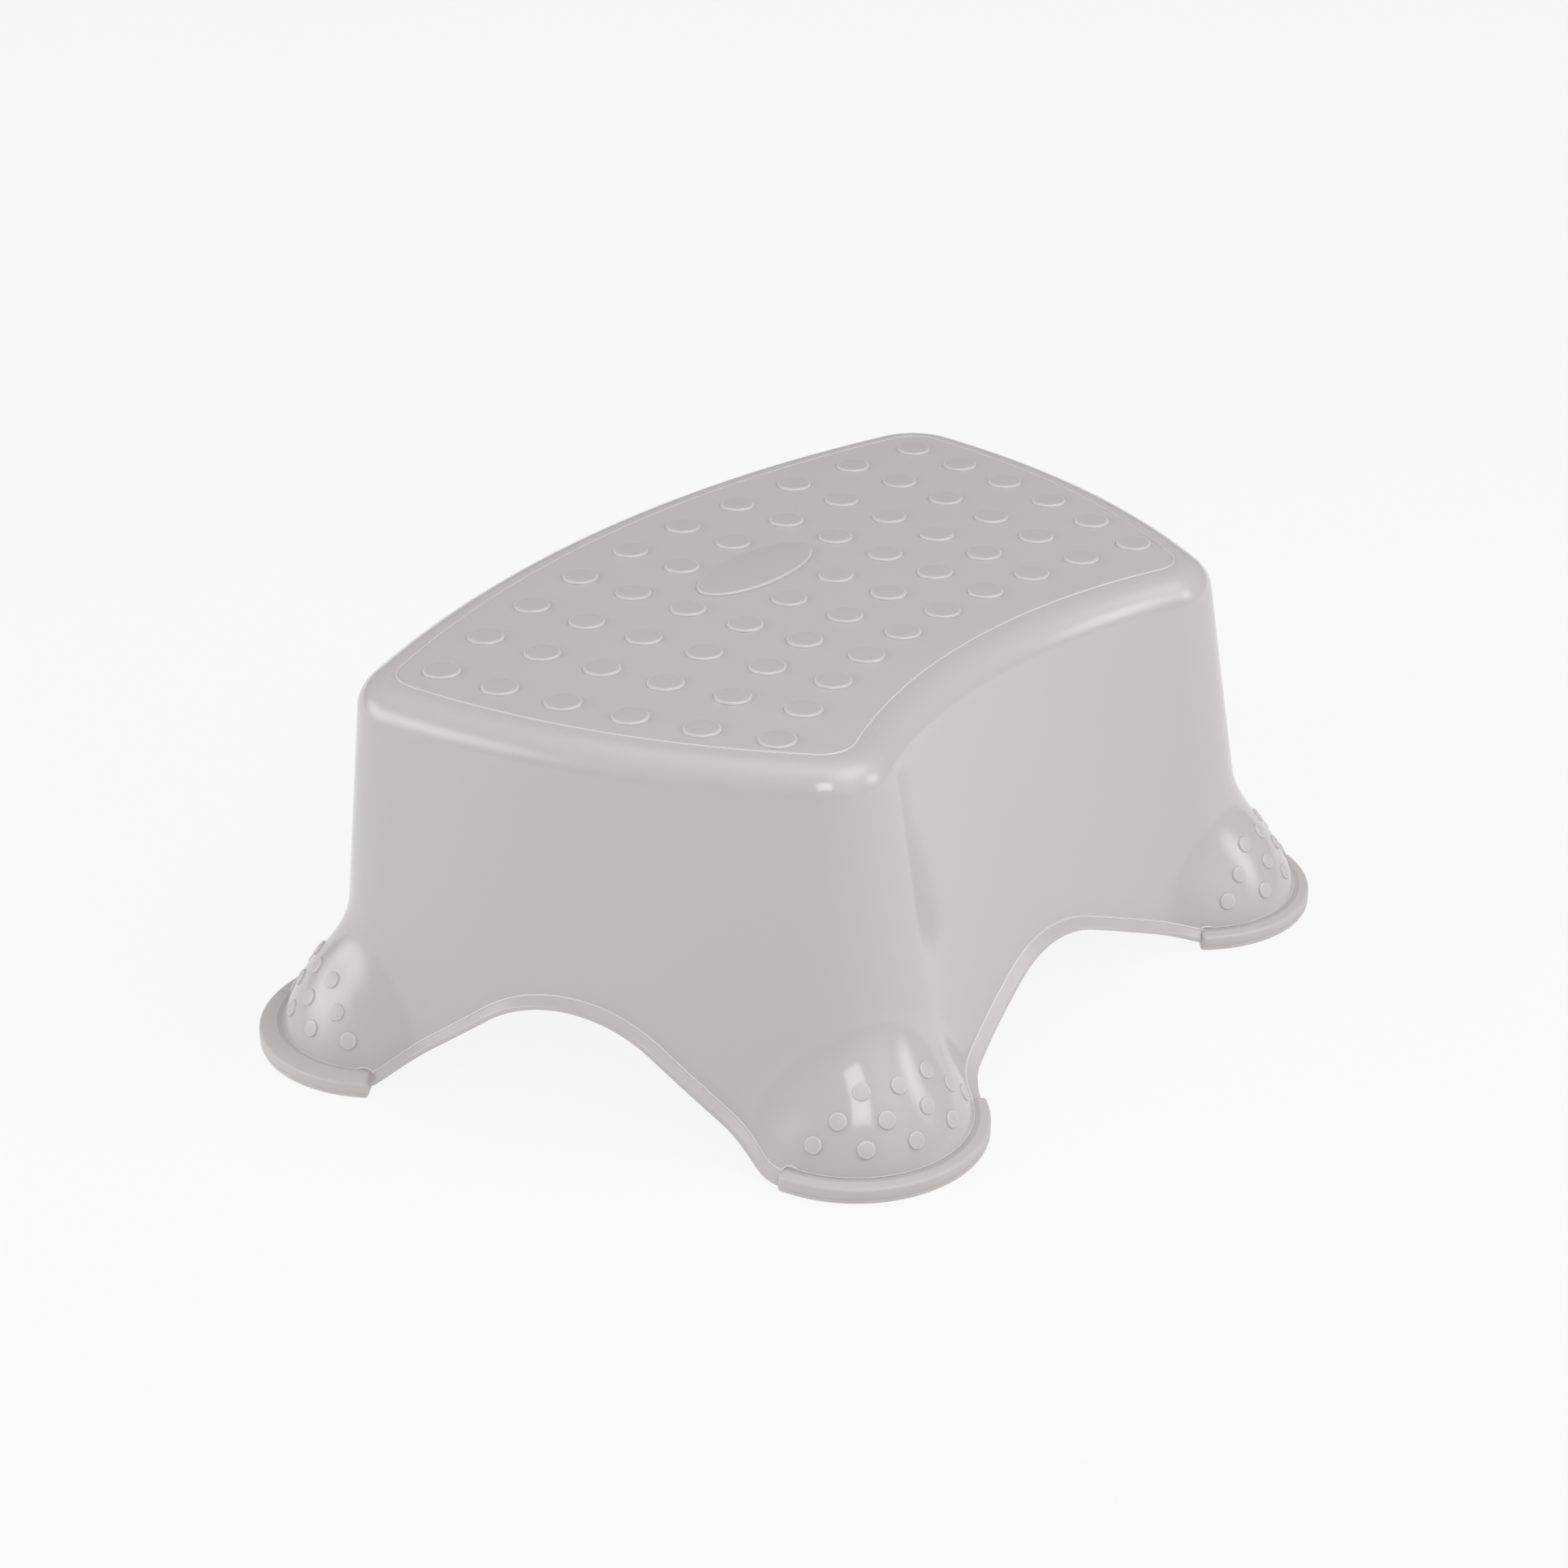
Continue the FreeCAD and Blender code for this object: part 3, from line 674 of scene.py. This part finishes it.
def lip_profile():
    """The lip from the wall down, as (height above the edge, distance outside the wall)."""
    foot_of_wall, brow, edge, under = (LIP_FLARE + LIP_FACE, 0.0), (LIP_FACE, LIP), (0.0, LIP), (0.0, 0.0)
    points = []
    for i in range(LIP_LINE_STEPS + 1):
        a = LIP_LINE_TURN * i / LIP_LINE_STEPS
        points.append((foot_of_wall[0] + LIP_LINE * math.cos(a), LIP_LINE * math.sin(a)))
    points += rounded(foot_of_wall, brow, edge, LIP_ROUND, LIP_ROUND_STEPS)
    points += rounded(brow, edge, under, LIP_LOW_ROUND, LIP_LOW_ROUND_STEPS)
    return points


def make_shell(gloss, matt, under, line):
    """The whole shell as one closed skin: tread, shoulder, walls, lip, and the inside."""
    builder = Builder()
    z_edge = edge_heights(0.0)
    rings, slots = [], []

    def ring(points, slot):
        rings.append(points)
        slots.append(slot)

    # The ridge's raised rings take the line slot, whose lighter colour is a painted highlight.
    for offset, up in RIDGE:
        ring(ring_flat(offset * RIDGE_HALF, TREAD_Z + up * RIDGE_RISE), LINE_HIGHLIGHT if up else MATT)
    for i in range(SHOULDER_STEPS + 1):
        share = MATT_SHARE * i / SHOULDER_STEPS
        ring(shoulder_ring(share, 0.0), MATT if i < SHOULDER_STEPS else GLOSS)
    for i in range(1, SHOULDER_STEPS + 1):
        ring(shoulder_ring(MATT_SHARE + (1 - MATT_SHARE) * i / SHOULDER_STEPS, 0.0), GLOSS)
    z_top = rings[-1][:, 2]
    lip = lip_profile()
    z_end = edge_heights(lip[0][0])
    for i in range(1, WALL_STEPS):
        ring(ring_at(z_top + (z_end - z_top) * i / WALL_STEPS, 0.0), GLOSS)
    # The lip's raised line takes the line slot, whose lighter colour is a painted highlight.
    for k, (above, outside) in enumerate(lip):
        ring(ring_at(edge_heights(above), outside), LINE_HIGHLIGHT if k < LIP_LINE_STEPS else GLOSS)
    ring(ring_at(z_edge, 0.0), GLOSS)
    ring(ring_at(z_edge, -WALL + INNER_ROUND), UNDER)
    ring(ring_at(z_edge + INNER_ROUND_MIDDLE, -WALL + INNER_ROUND_MIDDLE), UNDER)
    z_low = z_edge + INNER_ROUND
    inner_top = shoulder_ring(1.0, -WALL)
    for i in range(INSIDE_STEPS):
        ring(ring_at(z_low + (inner_top[:, 2] - z_low) * i / INSIDE_STEPS, -WALL), UNDER)
    for i in range(SHOULDER_STEPS, -1, -1):
        ring(shoulder_ring(i / SHOULDER_STEPS, -WALL), UNDER)
    made = builder.rings(rings, slots)
    builder.face(made[-1], UNDER)
    tread_plate(builder, made[0], MATT)
    ribs(builder, UNDER)
    obj = builder.object("stool_shell", [gloss, matt, under, line])
    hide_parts("body_shell")
    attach(obj, ROOT)
    return obj


# ---------------------------------------------------------------- feet

# Each soft rim goes part of the way round its foot
FRONT_RIM_ARC = (-176.0, -38.8)     # on the front left foot, in degrees
BACK_RIM_ARC = (62.0, 214.5)        # on the back left foot
RIM_STEPS = 120
RIM_RADIUS = 47.3 * MM
RIM_ROUND = 1.3 * MM                # rounding of its upper edge
RIM_ROUND_STEPS = 7
RIM_LOW_EDGE = ((1.2 * MM, 0), (0.55 * MM, 0.12 * MM), (0.15 * MM, 0.45 * MM), (0, 1.0 * MM))   # in, up
RIM_LINE = 0.14 * MM                # depth of the fine mould line round the outer face
RIM_LINE_Z = 1.7 * MM
RIM_LINE_HALF = 0.15 * MM           # half its width
RIM_SLOPE = 0.2                     # rise of the rim's top towards the dome
RIM_BITE = 1.5 * MM                 # how far the rim reaches into the dome
RIM_STRIP = 1.8 * MM                # the slightly sunk strip along the dome
RIM_STRIP_SUNK = 0.15 * MM
RIM_STRIP_EDGE = ((0.3 * MM, 0), (0.12 * MM, 0.15), (0, 0.5), (-0.12 * MM, 1))   # out, share of the depth
RIM_GROOVE = ((0.3 * MM, 0), (0.05 * MM, 0.15 * MM))   # out from the dome, and down
RIM_END_ROUND = 1.3 * MM
RIM_END_STEPS = 4
RIM_END_DROP = 0.6                  # how far the top drops as the end rounds off, as a share
DOME_SIGHT_UP = 0.6 * MM            # how far above the rim the dome is measured
SIGHT_FROM = 90.0 * MM              # a distance from a foot's axis that is outside the shell

# The fine bead above each rim. At its ends, in millimetres: along from the rim's end, above its top, thick
BEAD_END = (
    (-3.4, -1.6, 0.15),
    (-3.0, -1.5, 0.36),
    (-2.0, -1.1, 0.42),
    (-1.2, -0.6, 0.42),
    (-0.5, 0.1, 0.42),
    (0.1, 0.7, 0.42),
    (0.9, 1.1, 0.42),
    (2.0, 1.25, 0.42),
    (4.4, 1.15, 0.4),
    (5.2, 0.9, 0.2),
)
BEAD_UP = 0.8 * MM
BEAD_FINE = 0.18 * MM
BEAD_SIDES = 10

FOOT_STUD_ROWS = ((31.4 * MM, 3, 28.6), (23.3 * MM, 4, 28.6), (15.5 * MM, 5, 27.3))   # height, count, step
FRONT_STUD_MIDDLE = -109.4          # direction of the middle of the rows, in degrees
BACK_STUD_MIDDLE = 146.4
FOOT_STUD_RADIUS = 3.1 * MM
FOOT_STUD_RISE = 0.85 * MM
FOOT_STUD_CROWN = 0.16 * MM
FOOT_STUD_EDGE = 0.55 * MM
FOOT_STUD_EDGE_STEPS = 5
FOOT_STUD_TOP_SHARES = (0.3, 0.6, 0.85, 1.0)
FOOT_STUD_SIDE = ((0.02 * MM, -0.1 * MM), (-0.2 * MM, -0.9 * MM))   # out from the radius, and up
FOOT_STUD_STEPS = 36
# The steps of its section that take the edge's material, painted lighter as a highlight: the rounded edge
# and the side below it
FOOT_STUD_HIGHLIGHT_RINGS = range(len(FOOT_STUD_TOP_SHARES) - 1,
                             len(FOOT_STUD_TOP_SHARES) + FOOT_STUD_EDGE_STEPS)
TILT_TURN = 3.0                     # a foot stud's tilt is measured this far to each side, in degrees
TILT_UP = 2.0 * MM                  # and this far up and down


def mirrored(arc):
    """An arc in degrees, seen in the middle plane of the stool."""
    return 180 - arc[1], 180 - arc[0]


def plain_skin():
    """A search tree of the outer skin down to the floor, without the arches and the lip."""
    skin = Builder()
    skin.rings([ring_at(EDGE_LIMIT * (1 - i / WALL_STEPS), 0.0) for i in range(WALL_STEPS + 1)])
    return BVHTree.FromPolygons(skin.verts, skin.faces)


def skin_hit(tree, foot, degrees, z):
    """Where the outer skin lies, looking from outside towards a foot's axis: (radius, point, normal)."""
    cx, cy, _ = FEET[foot]
    a = math.radians(degrees)
    way = Vector((math.cos(a), math.sin(a), 0))
    start = Vector((cx, cy, z)) + way * SIGHT_FROM
    point, normal, _, _ = tree.ray_cast(start, -way)
    return (point - Vector((cx, cy, z))).length, point, normal


def rim_section(skin, shrink):
    """Closed section of a rim as (radius, height): an upright face, a top that rises inwards, a sunk strip.
    skin is the dome's radius, and shrink is how far the section has drawn in at the rim's rounded ends."""
    r = RIM_RADIUS - shrink
    top = RIM_TOP_Z - shrink * RIM_END_DROP
    points = [(skin - RIM_BITE, 0)]
    points += [(r - inwards, up) for inwards, up in RIM_LOW_EDGE]
    points += [(r, RIM_LINE_Z - RIM_LINE_HALF), (r - RIM_LINE, RIM_LINE_Z), (r, RIM_LINE_Z + RIM_LINE_HALF)]
    for i in range(RIM_ROUND_STEPS + 1):
        a = math.pi / 2 * i / RIM_ROUND_STEPS
        points.append((r - RIM_ROUND + RIM_ROUND * math.cos(a), top - RIM_ROUND + RIM_ROUND * math.sin(a)))
    strip = skin + RIM_STRIP
    high = top + RIM_SLOPE * (r - RIM_ROUND - strip)
    low = high - RIM_STRIP_SUNK
    points += [(strip + out, high - RIM_STRIP_SUNK * share) for out, share in RIM_STRIP_EDGE]
    points += [(skin + out, low - down) for out, down in RIM_GROOVE]
    return points + [(skin - RIM_BITE, low - RIM_GROOVE[-1][1])]


def make_rim(tree, foot, arc, material):
    """A soft rim round the outside of one foot, closed at both ends with small roundings."""
    cx, cy, _ = FEET[foot]
    builder = Builder()
    ease = math.degrees(RIM_END_ROUND / RIM_RADIUS)
    end = []
    for i in range(RIM_END_STEPS + 1):
        a = math.pi / 2 * i / RIM_END_STEPS
        end.append((arc[0] + ease * (1 - math.cos(a)), RIM_END_ROUND * (1 - math.sin(a))))
    step = (arc[1] - arc[0] - 2 * ease) / RIM_STEPS
    middle = [(arc[0] + ease + step * i, 0.0) for i in range(1, RIM_STEPS)]
    other_end = [(arc[0] + arc[1] - degrees, shrink) for degrees, shrink in end[::-1]]
    rings = []
    for degrees, shrink in end + middle + other_end:
        skin, _, _ = skin_hit(tree, foot, degrees, RIM_TOP_Z + DOME_SIGHT_UP)
        a = math.radians(degrees)
        section = rim_section(skin, shrink)
        rings.append([(cx + r * math.cos(a), cy + r * math.sin(a), z) for r, z in section])
    made = builder.rings(rings)
    builder.face(made[0])
    builder.face(made[-1][::-1])
    obj = builder.object(foot + "_rim", [material])
    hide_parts(foot + "_foot_rim")
    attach(obj, ROOT)
    return obj


def make_bead(tree, foot, arc, material):
    """The fine raised line on the shell that a rim is moulded against. It dips to the lip at both ends."""
    per_mm = math.degrees(MM / RIM_RADIUS)
    end = [(arc[0] + along * per_mm, RIM_TOP_Z + up * MM, thick * MM) for along, up, thick in BEAD_END]
    first, last = end[-1][0], arc[0] + arc[1] - end[-1][0]
    ways = [arc[0] + (arc[1] - arc[0]) * i / RIM_STEPS for i in range(1, RIM_STEPS)]
    middle = [(degrees, RIM_TOP_Z + BEAD_UP, BEAD_FINE) for degrees in ways if first < degrees < last]
    path = end + middle + [(arc[0] + arc[1] - degrees, z, radius) for degrees, z, radius in end[::-1]]
    places = [skin_hit(tree, foot, degrees, z)[1:] for degrees, z, _ in path]
    turns = [2 * math.pi * k / BEAD_SIDES for k in range(BEAD_SIDES)]
    builder = Builder()
    rings = []
    for i, (point, normal) in enumerate(places):
        ahead = (places[min(i + 1, len(places) - 1)][0] - places[max(i - 1, 0)][0]).normalized()
        side = ahead.cross(normal).normalized()
        out = side.cross(ahead)
        radius = path[i][2]
        rings.append([point + radius * (math.cos(a) * side + math.sin(a) * out) for a in turns])
    made = builder.rings(rings)
    builder.face(made[0])
    builder.face(made[-1][::-1])
    # The bead takes the line material, whose lighter colour is a painted highlight.
    obj = builder.object(foot + "_rim_bead", [material])
    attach(obj, ROOT)
    return obj


def foot_stud_profile():
    """Half section of a small stud: a slightly domed face, a rounded edge, and a part sunk in the skin."""
    edge = FOOT_STUD_EDGE
    flat, shoulder = FOOT_STUD_RADIUS - edge, FOOT_STUD_RISE - FOOT_STUD_CROWN
    profile = [(0, FOOT_STUD_RISE)]
    for share in FOOT_STUD_TOP_SHARES:
        profile.append((flat * share, FOOT_STUD_RISE - FOOT_STUD_CROWN * share * share))
    for i in range(1, FOOT_STUD_EDGE_STEPS + 1):
        a = math.pi / 2 * i / FOOT_STUD_EDGE_STEPS
        profile.append((flat + edge * math.sin(a), shoulder - edge * (1 - math.cos(a))))
    profile += [(FOOT_STUD_RADIUS + out, up) for out, up in FOOT_STUD_SIDE]
    return profile + [(0, FOOT_STUD_SIDE[-1][1])]


def make_foot_studs(tree, foot, middle, material, edge_highlight_material):
    """The small studs on one foot, each square to the dome under it."""
    builder = Builder()
    for z, count, step in FOOT_STUD_ROWS:
        for i in range(count):
            degrees = middle + step * (i - (count - 1) / 2)
            _, point, _ = skin_hit(tree, foot, degrees, z)
            left, right = [skin_hit(tree, foot, degrees + turn, z)[1] for turn in (-TILT_TURN, TILT_TURN)]
            low, high = [skin_hit(tree, foot, degrees, z + up)[1] for up in (-TILT_UP, TILT_UP)]
            normal = (right - left).cross(high - low).normalized()
            side = normal.cross(UPWARDS).normalized()
            basis = Matrix((side, side.cross(normal), normal)).transposed()
            turned_solid(builder, foot_stud_profile(),
                         lambda u, v, w, b=basis, p=point: p + b @ Vector((u, v, w)),
                         FOOT_STUD_STEPS, FOOT_STUD_HIGHLIGHT_RINGS)
    obj = builder.object(foot + "_studs", [material, edge_highlight_material])
    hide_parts(foot + "_foot_studs")
    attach(obj, ROOT)
    return obj


# ---------------------------------------------------------------- materials

CLOUD_SCALE = 14.0            # the mottle's noise, in cycles for each metre
CLOUD_DETAIL = 3.0
FINE_SCALE = 160.0            # the roughness's noise
FINE_DETAIL = 2.0
IOR = 1.49


def noise(nodes, links, place, scale, detail):
    """A noise texture in the object's own coordinates."""
    texture = nodes.new("ShaderNodeTexNoise")
    texture.inputs["Scale"].default_value = scale
    texture.inputs["Detail"].default_value = detail
    links.new(place.outputs["Object"], texture.inputs["Vector"])
    return texture.outputs["Fac"]


def plastic(name, colour, mottle, roughness, spread, grain, depth):
    """Moulded plastic: a faintly mottled colour, roughness that varies a little, and a fine grain."""
    m = bpy.data.materials.new(name)
    m.use_nodes = True
    nodes, links = m.node_tree.nodes, m.node_tree.links
    shader = nodes["Principled BSDF"]
    shader.inputs["IOR"].default_value = IOR
    place = nodes.new("ShaderNodeTexCoord")

    mix = nodes.new("ShaderNodeMix")
    mix.data_type = "RGBA"
    mix.inputs["A"].default_value = (*[c * (1 - mottle) for c in colour], 1)
    mix.inputs["B"].default_value = (*[min(c * (1 + mottle), 1) for c in colour], 1)
    links.new(noise(nodes, links, place, CLOUD_SCALE, CLOUD_DETAIL), mix.inputs["Factor"])
    links.new(mix.outputs["Result"], shader.inputs["Base Color"])

    rough = nodes.new("ShaderNodeMapRange")
    rough.inputs["To Min"].default_value = roughness - spread
    rough.inputs["To Max"].default_value = roughness + spread
    links.new(noise(nodes, links, place, FINE_SCALE, FINE_DETAIL), rough.inputs["Value"])
    links.new(rough.outputs["Result"], shader.inputs["Roughness"])

    bump = nodes.new("ShaderNodeBump")
    bump.inputs["Distance"].default_value = depth
    links.new(noise(nodes, links, place, grain, FINE_DETAIL), bump.inputs["Height"])
    links.new(bump.outputs["Normal"], shader.inputs["Normal"])
    return m


SHELL_COLOUR = (0.505, 0.481, 0.486)
TREAD_COLOUR = (0.492, 0.468, 0.470)
# Painted highlight: the ridge, the lip's raised line and the rim beads are coloured lighter than the shell.
LINE_HIGHLIGHT_COLOUR = (0.62, 0.595, 0.6)
GRIP_COLOUR = (0.482, 0.458, 0.454)
RIM_COLOUR = (0.52, 0.495, 0.492)
# Painted highlight: the rounded edges of the tread studs and the badge, and the edges and sides of the foot
# studs, are lighter than the grips.
GRIP_EDGE_HIGHLIGHT_COLOUR = (0.585, 0.56, 0.56)
MOTTLE = 0.012                # share by which the colour varies
GLOSS_GRAIN = {"grain": 260.0, "depth": 0.002 * MM}
GRIP_GRAIN = {"grain": 1800.0, "depth": 0.015 * MM}

gloss = plastic("shell_gloss", SHELL_COLOUR, MOTTLE, roughness=0.13, spread=0.02, **GLOSS_GRAIN)
matt = plastic("tread_texture", TREAD_COLOUR, MOTTLE, roughness=0.5, spread=0.05,
               grain=2600.0, depth=0.02 * MM)
under = plastic("shell_inside", SHELL_COLOUR, mottle=0.02, roughness=0.35, spread=0.05,
                grain=400.0, depth=0.01 * MM)
line = plastic("shell_line_painted_highlight", LINE_HIGHLIGHT_COLOUR, MOTTLE, roughness=0.16, spread=0.02, **GLOSS_GRAIN)
grip = plastic("soft_grip", GRIP_COLOUR, MOTTLE, roughness=0.4, spread=0.04, **GRIP_GRAIN)
rim_grip = plastic("soft_rim", RIM_COLOUR, MOTTLE, roughness=0.42, spread=0.04, **GRIP_GRAIN)
grip_edge_highlight = plastic("soft_grip_edge_painted_highlight", GRIP_EDGE_HIGHLIGHT_COLOUR, MOTTLE, roughness=0.3, spread=0.03,
                    grain=1800.0, depth=0.01 * MM)

for name, node in frame["nodes"].items():
    node.data.materials.clear()
    node.data.materials.append(gloss if name == "body_shell" else grip)


# ---------------------------------------------------------------- pieces

make_shell(gloss, matt, under, line)
for row in range(STUD_ROWS):
    make_tread_row(row, grip, grip_edge_highlight)
make_badge(grip, grip_edge_highlight)
skin_tree = plain_skin()
for foot in FEET:
    arc = FRONT_RIM_ARC if foot.startswith("front") else BACK_RIM_ARC
    middle = FRONT_STUD_MIDDLE if foot.startswith("front") else BACK_STUD_MIDDLE
    if foot.endswith("right"):
        arc, middle = mirrored(arc), 180 - middle
    make_rim(skin_tree, foot, arc, rim_grip)
    make_bead(skin_tree, foot, arc, line)
    make_foot_studs(skin_tree, foot, middle, rim_grip, grip_edge_highlight)


# ---------------------------------------------------------------- camera, floor and light

def direction(azimuth, elevation):
    """A unit vector: azimuth 0 points to the front (-Y), 90 to the right (+X)."""
    a, e = math.radians(azimuth), math.radians(elevation)
    return Vector((math.sin(a) * math.cos(e), -math.cos(a) * math.cos(e), math.sin(e)))


def aim(obj, place, target):
    """Puts a camera or a light at a place and turns it to look at the target, upright."""
    back = (place - target).normalized()
    right = UPWARDS.cross(back).normalized()
    turn = Matrix((right, back.cross(right), back)).transposed()
    obj.matrix_world = Matrix.Translation(place) @ turn.to_4x4()


CAMERA_AZIMUTH = -51.62
CAMERA_ELEVATION = 26.765
CAMERA_DISTANCE = 1166.9 * MM
CAMERA_TARGET = Vector((-25.34, 9.73, 70.0)) * MM
CAMERA_LENS = 72.09
CAMERA_SENSOR = 36.0
CAMERA_RANGE = (0.01, 50.0)

FLOOR_HALF = 6.0
FLOOR_TONE = 0.05
FLOOR_GLOW = 0.895
WORLD_GLOW = 0.29
LIGHT_DISTANCE = 1.7
LIGHT_TARGET = Vector((0, 0, 70 * MM))
LIGHT_POWER = 4                    # watts for each square metre and unit of radiance
LIGHT_MIDDLE = (0.5, 0.5, 0.0)     # of a light's own coordinates, which run from 0 to 1
LIGHT_RIM = 0.5                    # how far its edge is from its middle


def make_camera():
    """The camera at the picture's viewing angle."""
    data = bpy.data.cameras.new("camera")
    data.sensor_width = CAMERA_SENSOR
    data.lens = CAMERA_LENS
    data.clip_start, data.clip_end = CAMERA_RANGE
    camera = bpy.data.objects.new("camera", data)
    bpy.context.scene.collection.objects.link(camera)
    away = direction(CAMERA_AZIMUTH, CAMERA_ELEVATION) * CAMERA_DISTANCE
    aim(camera, CAMERA_TARGET + away, CAMERA_TARGET)
    bpy.context.scene.camera = camera


def make_floor():
    """A plain pale floor that glows evenly, as a studio's white sweep does."""
    material = bpy.data.materials.new("studio_floor")
    material.use_nodes = True
    shader = material.node_tree.nodes["Principled BSDF"]
    shader.inputs["Base Color"].default_value = (FLOOR_TONE, FLOOR_TONE, FLOOR_TONE, 1)
    shader.inputs["Roughness"].default_value = 1.0
    shader.inputs["Specular IOR Level"].default_value = 0.0
    shader.inputs["Emission Color"].default_value = (1.0, 1.0, 1.0, 1)
    shader.inputs["Emission Strength"].default_value = FLOOR_GLOW
    corners = [(x * FLOOR_HALF, y * FLOOR_HALF, 0) for x, y in ((-1, -1), (1, -1), (1, 1), (-1, 1))]
    floor = new_object("studio_floor", corners, [(0, 1, 2, 3)], [material], smooth=False)


def make_world():
    """The even white light of the room."""
    world = bpy.data.worlds.new("studio")
    world.use_nodes = True
    background = world.node_tree.nodes["Background"]
    background.inputs["Color"].default_value = (1.0, 1.0, 1.0, 1)
    background.inputs["Strength"].default_value = WORLD_GLOW
    bpy.context.scene.world = world


def soft_box(name, azimuth, elevation, wide, high, radiance, soft=False):
    """A studio light: wide and high in degrees as the stool sees it. A soft one fades towards its edges."""
    data = bpy.data.lights.new(name, "AREA")
    data.shape = "ELLIPSE" if soft else "RECTANGLE"
    data.size = 2 * LIGHT_DISTANCE * math.tan(math.radians(wide / 2))
    data.size_y = 2 * LIGHT_DISTANCE * math.tan(math.radians(high / 2))
    data.energy = LIGHT_POWER * data.size * data.size_y * radiance
    if soft:
        data.use_nodes = True
        nodes, links = data.node_tree.nodes, data.node_tree.links
        place = nodes.new("ShaderNodeNewGeometry")
        middle = nodes.new("ShaderNodeVectorMath")
        middle.operation = "DISTANCE"
        middle.inputs[1].default_value = LIGHT_MIDDLE
        fade = nodes.new("ShaderNodeMapRange")
        fade.interpolation_type = "SMOOTHSTEP"
        fade.inputs["From Min"].default_value = LIGHT_RIM
        fade.inputs["From Max"].default_value = 0.0
        links.new(place.outputs["Parametric"], middle.inputs[0])
        links.new(middle.outputs["Value"], fade.inputs["Value"])
        links.new(fade.outputs["Result"], nodes["Emission"].inputs["Strength"])
    obj = bpy.data.objects.new(name, data)
    bpy.context.scene.collection.objects.link(obj)
    obj.visible_camera = False
    aim(obj, LIGHT_TARGET + direction(azimuth, elevation) * LIGHT_DISTANCE, LIGHT_TARGET)


make_camera()
make_floor()
make_world()
soft_box("window_light", -44, 40, 18, 21, 4.0)
soft_box("right_key", 30, 24, 32, 38, 2.6, soft=True)
soft_box("right_wash", 15, 45, 90, 50, 0.6, soft=True)
soft_box("front_low", -10, 24, 60, 44, 0.4, soft=True)
soft_box("right_high", 20, 60, 70, 50, 1.65, soft=True)
soft_box("left_key", -118, 26, 44, 36, 2.0, soft=True)
soft_box("left_low", -140, 14, 70, 40, 2.3, soft=True)
soft_box("top_light", 0, 89, 80, 80, 0.75, soft=True)

bpy.context.scene.view_settings.view_transform = "Standard"
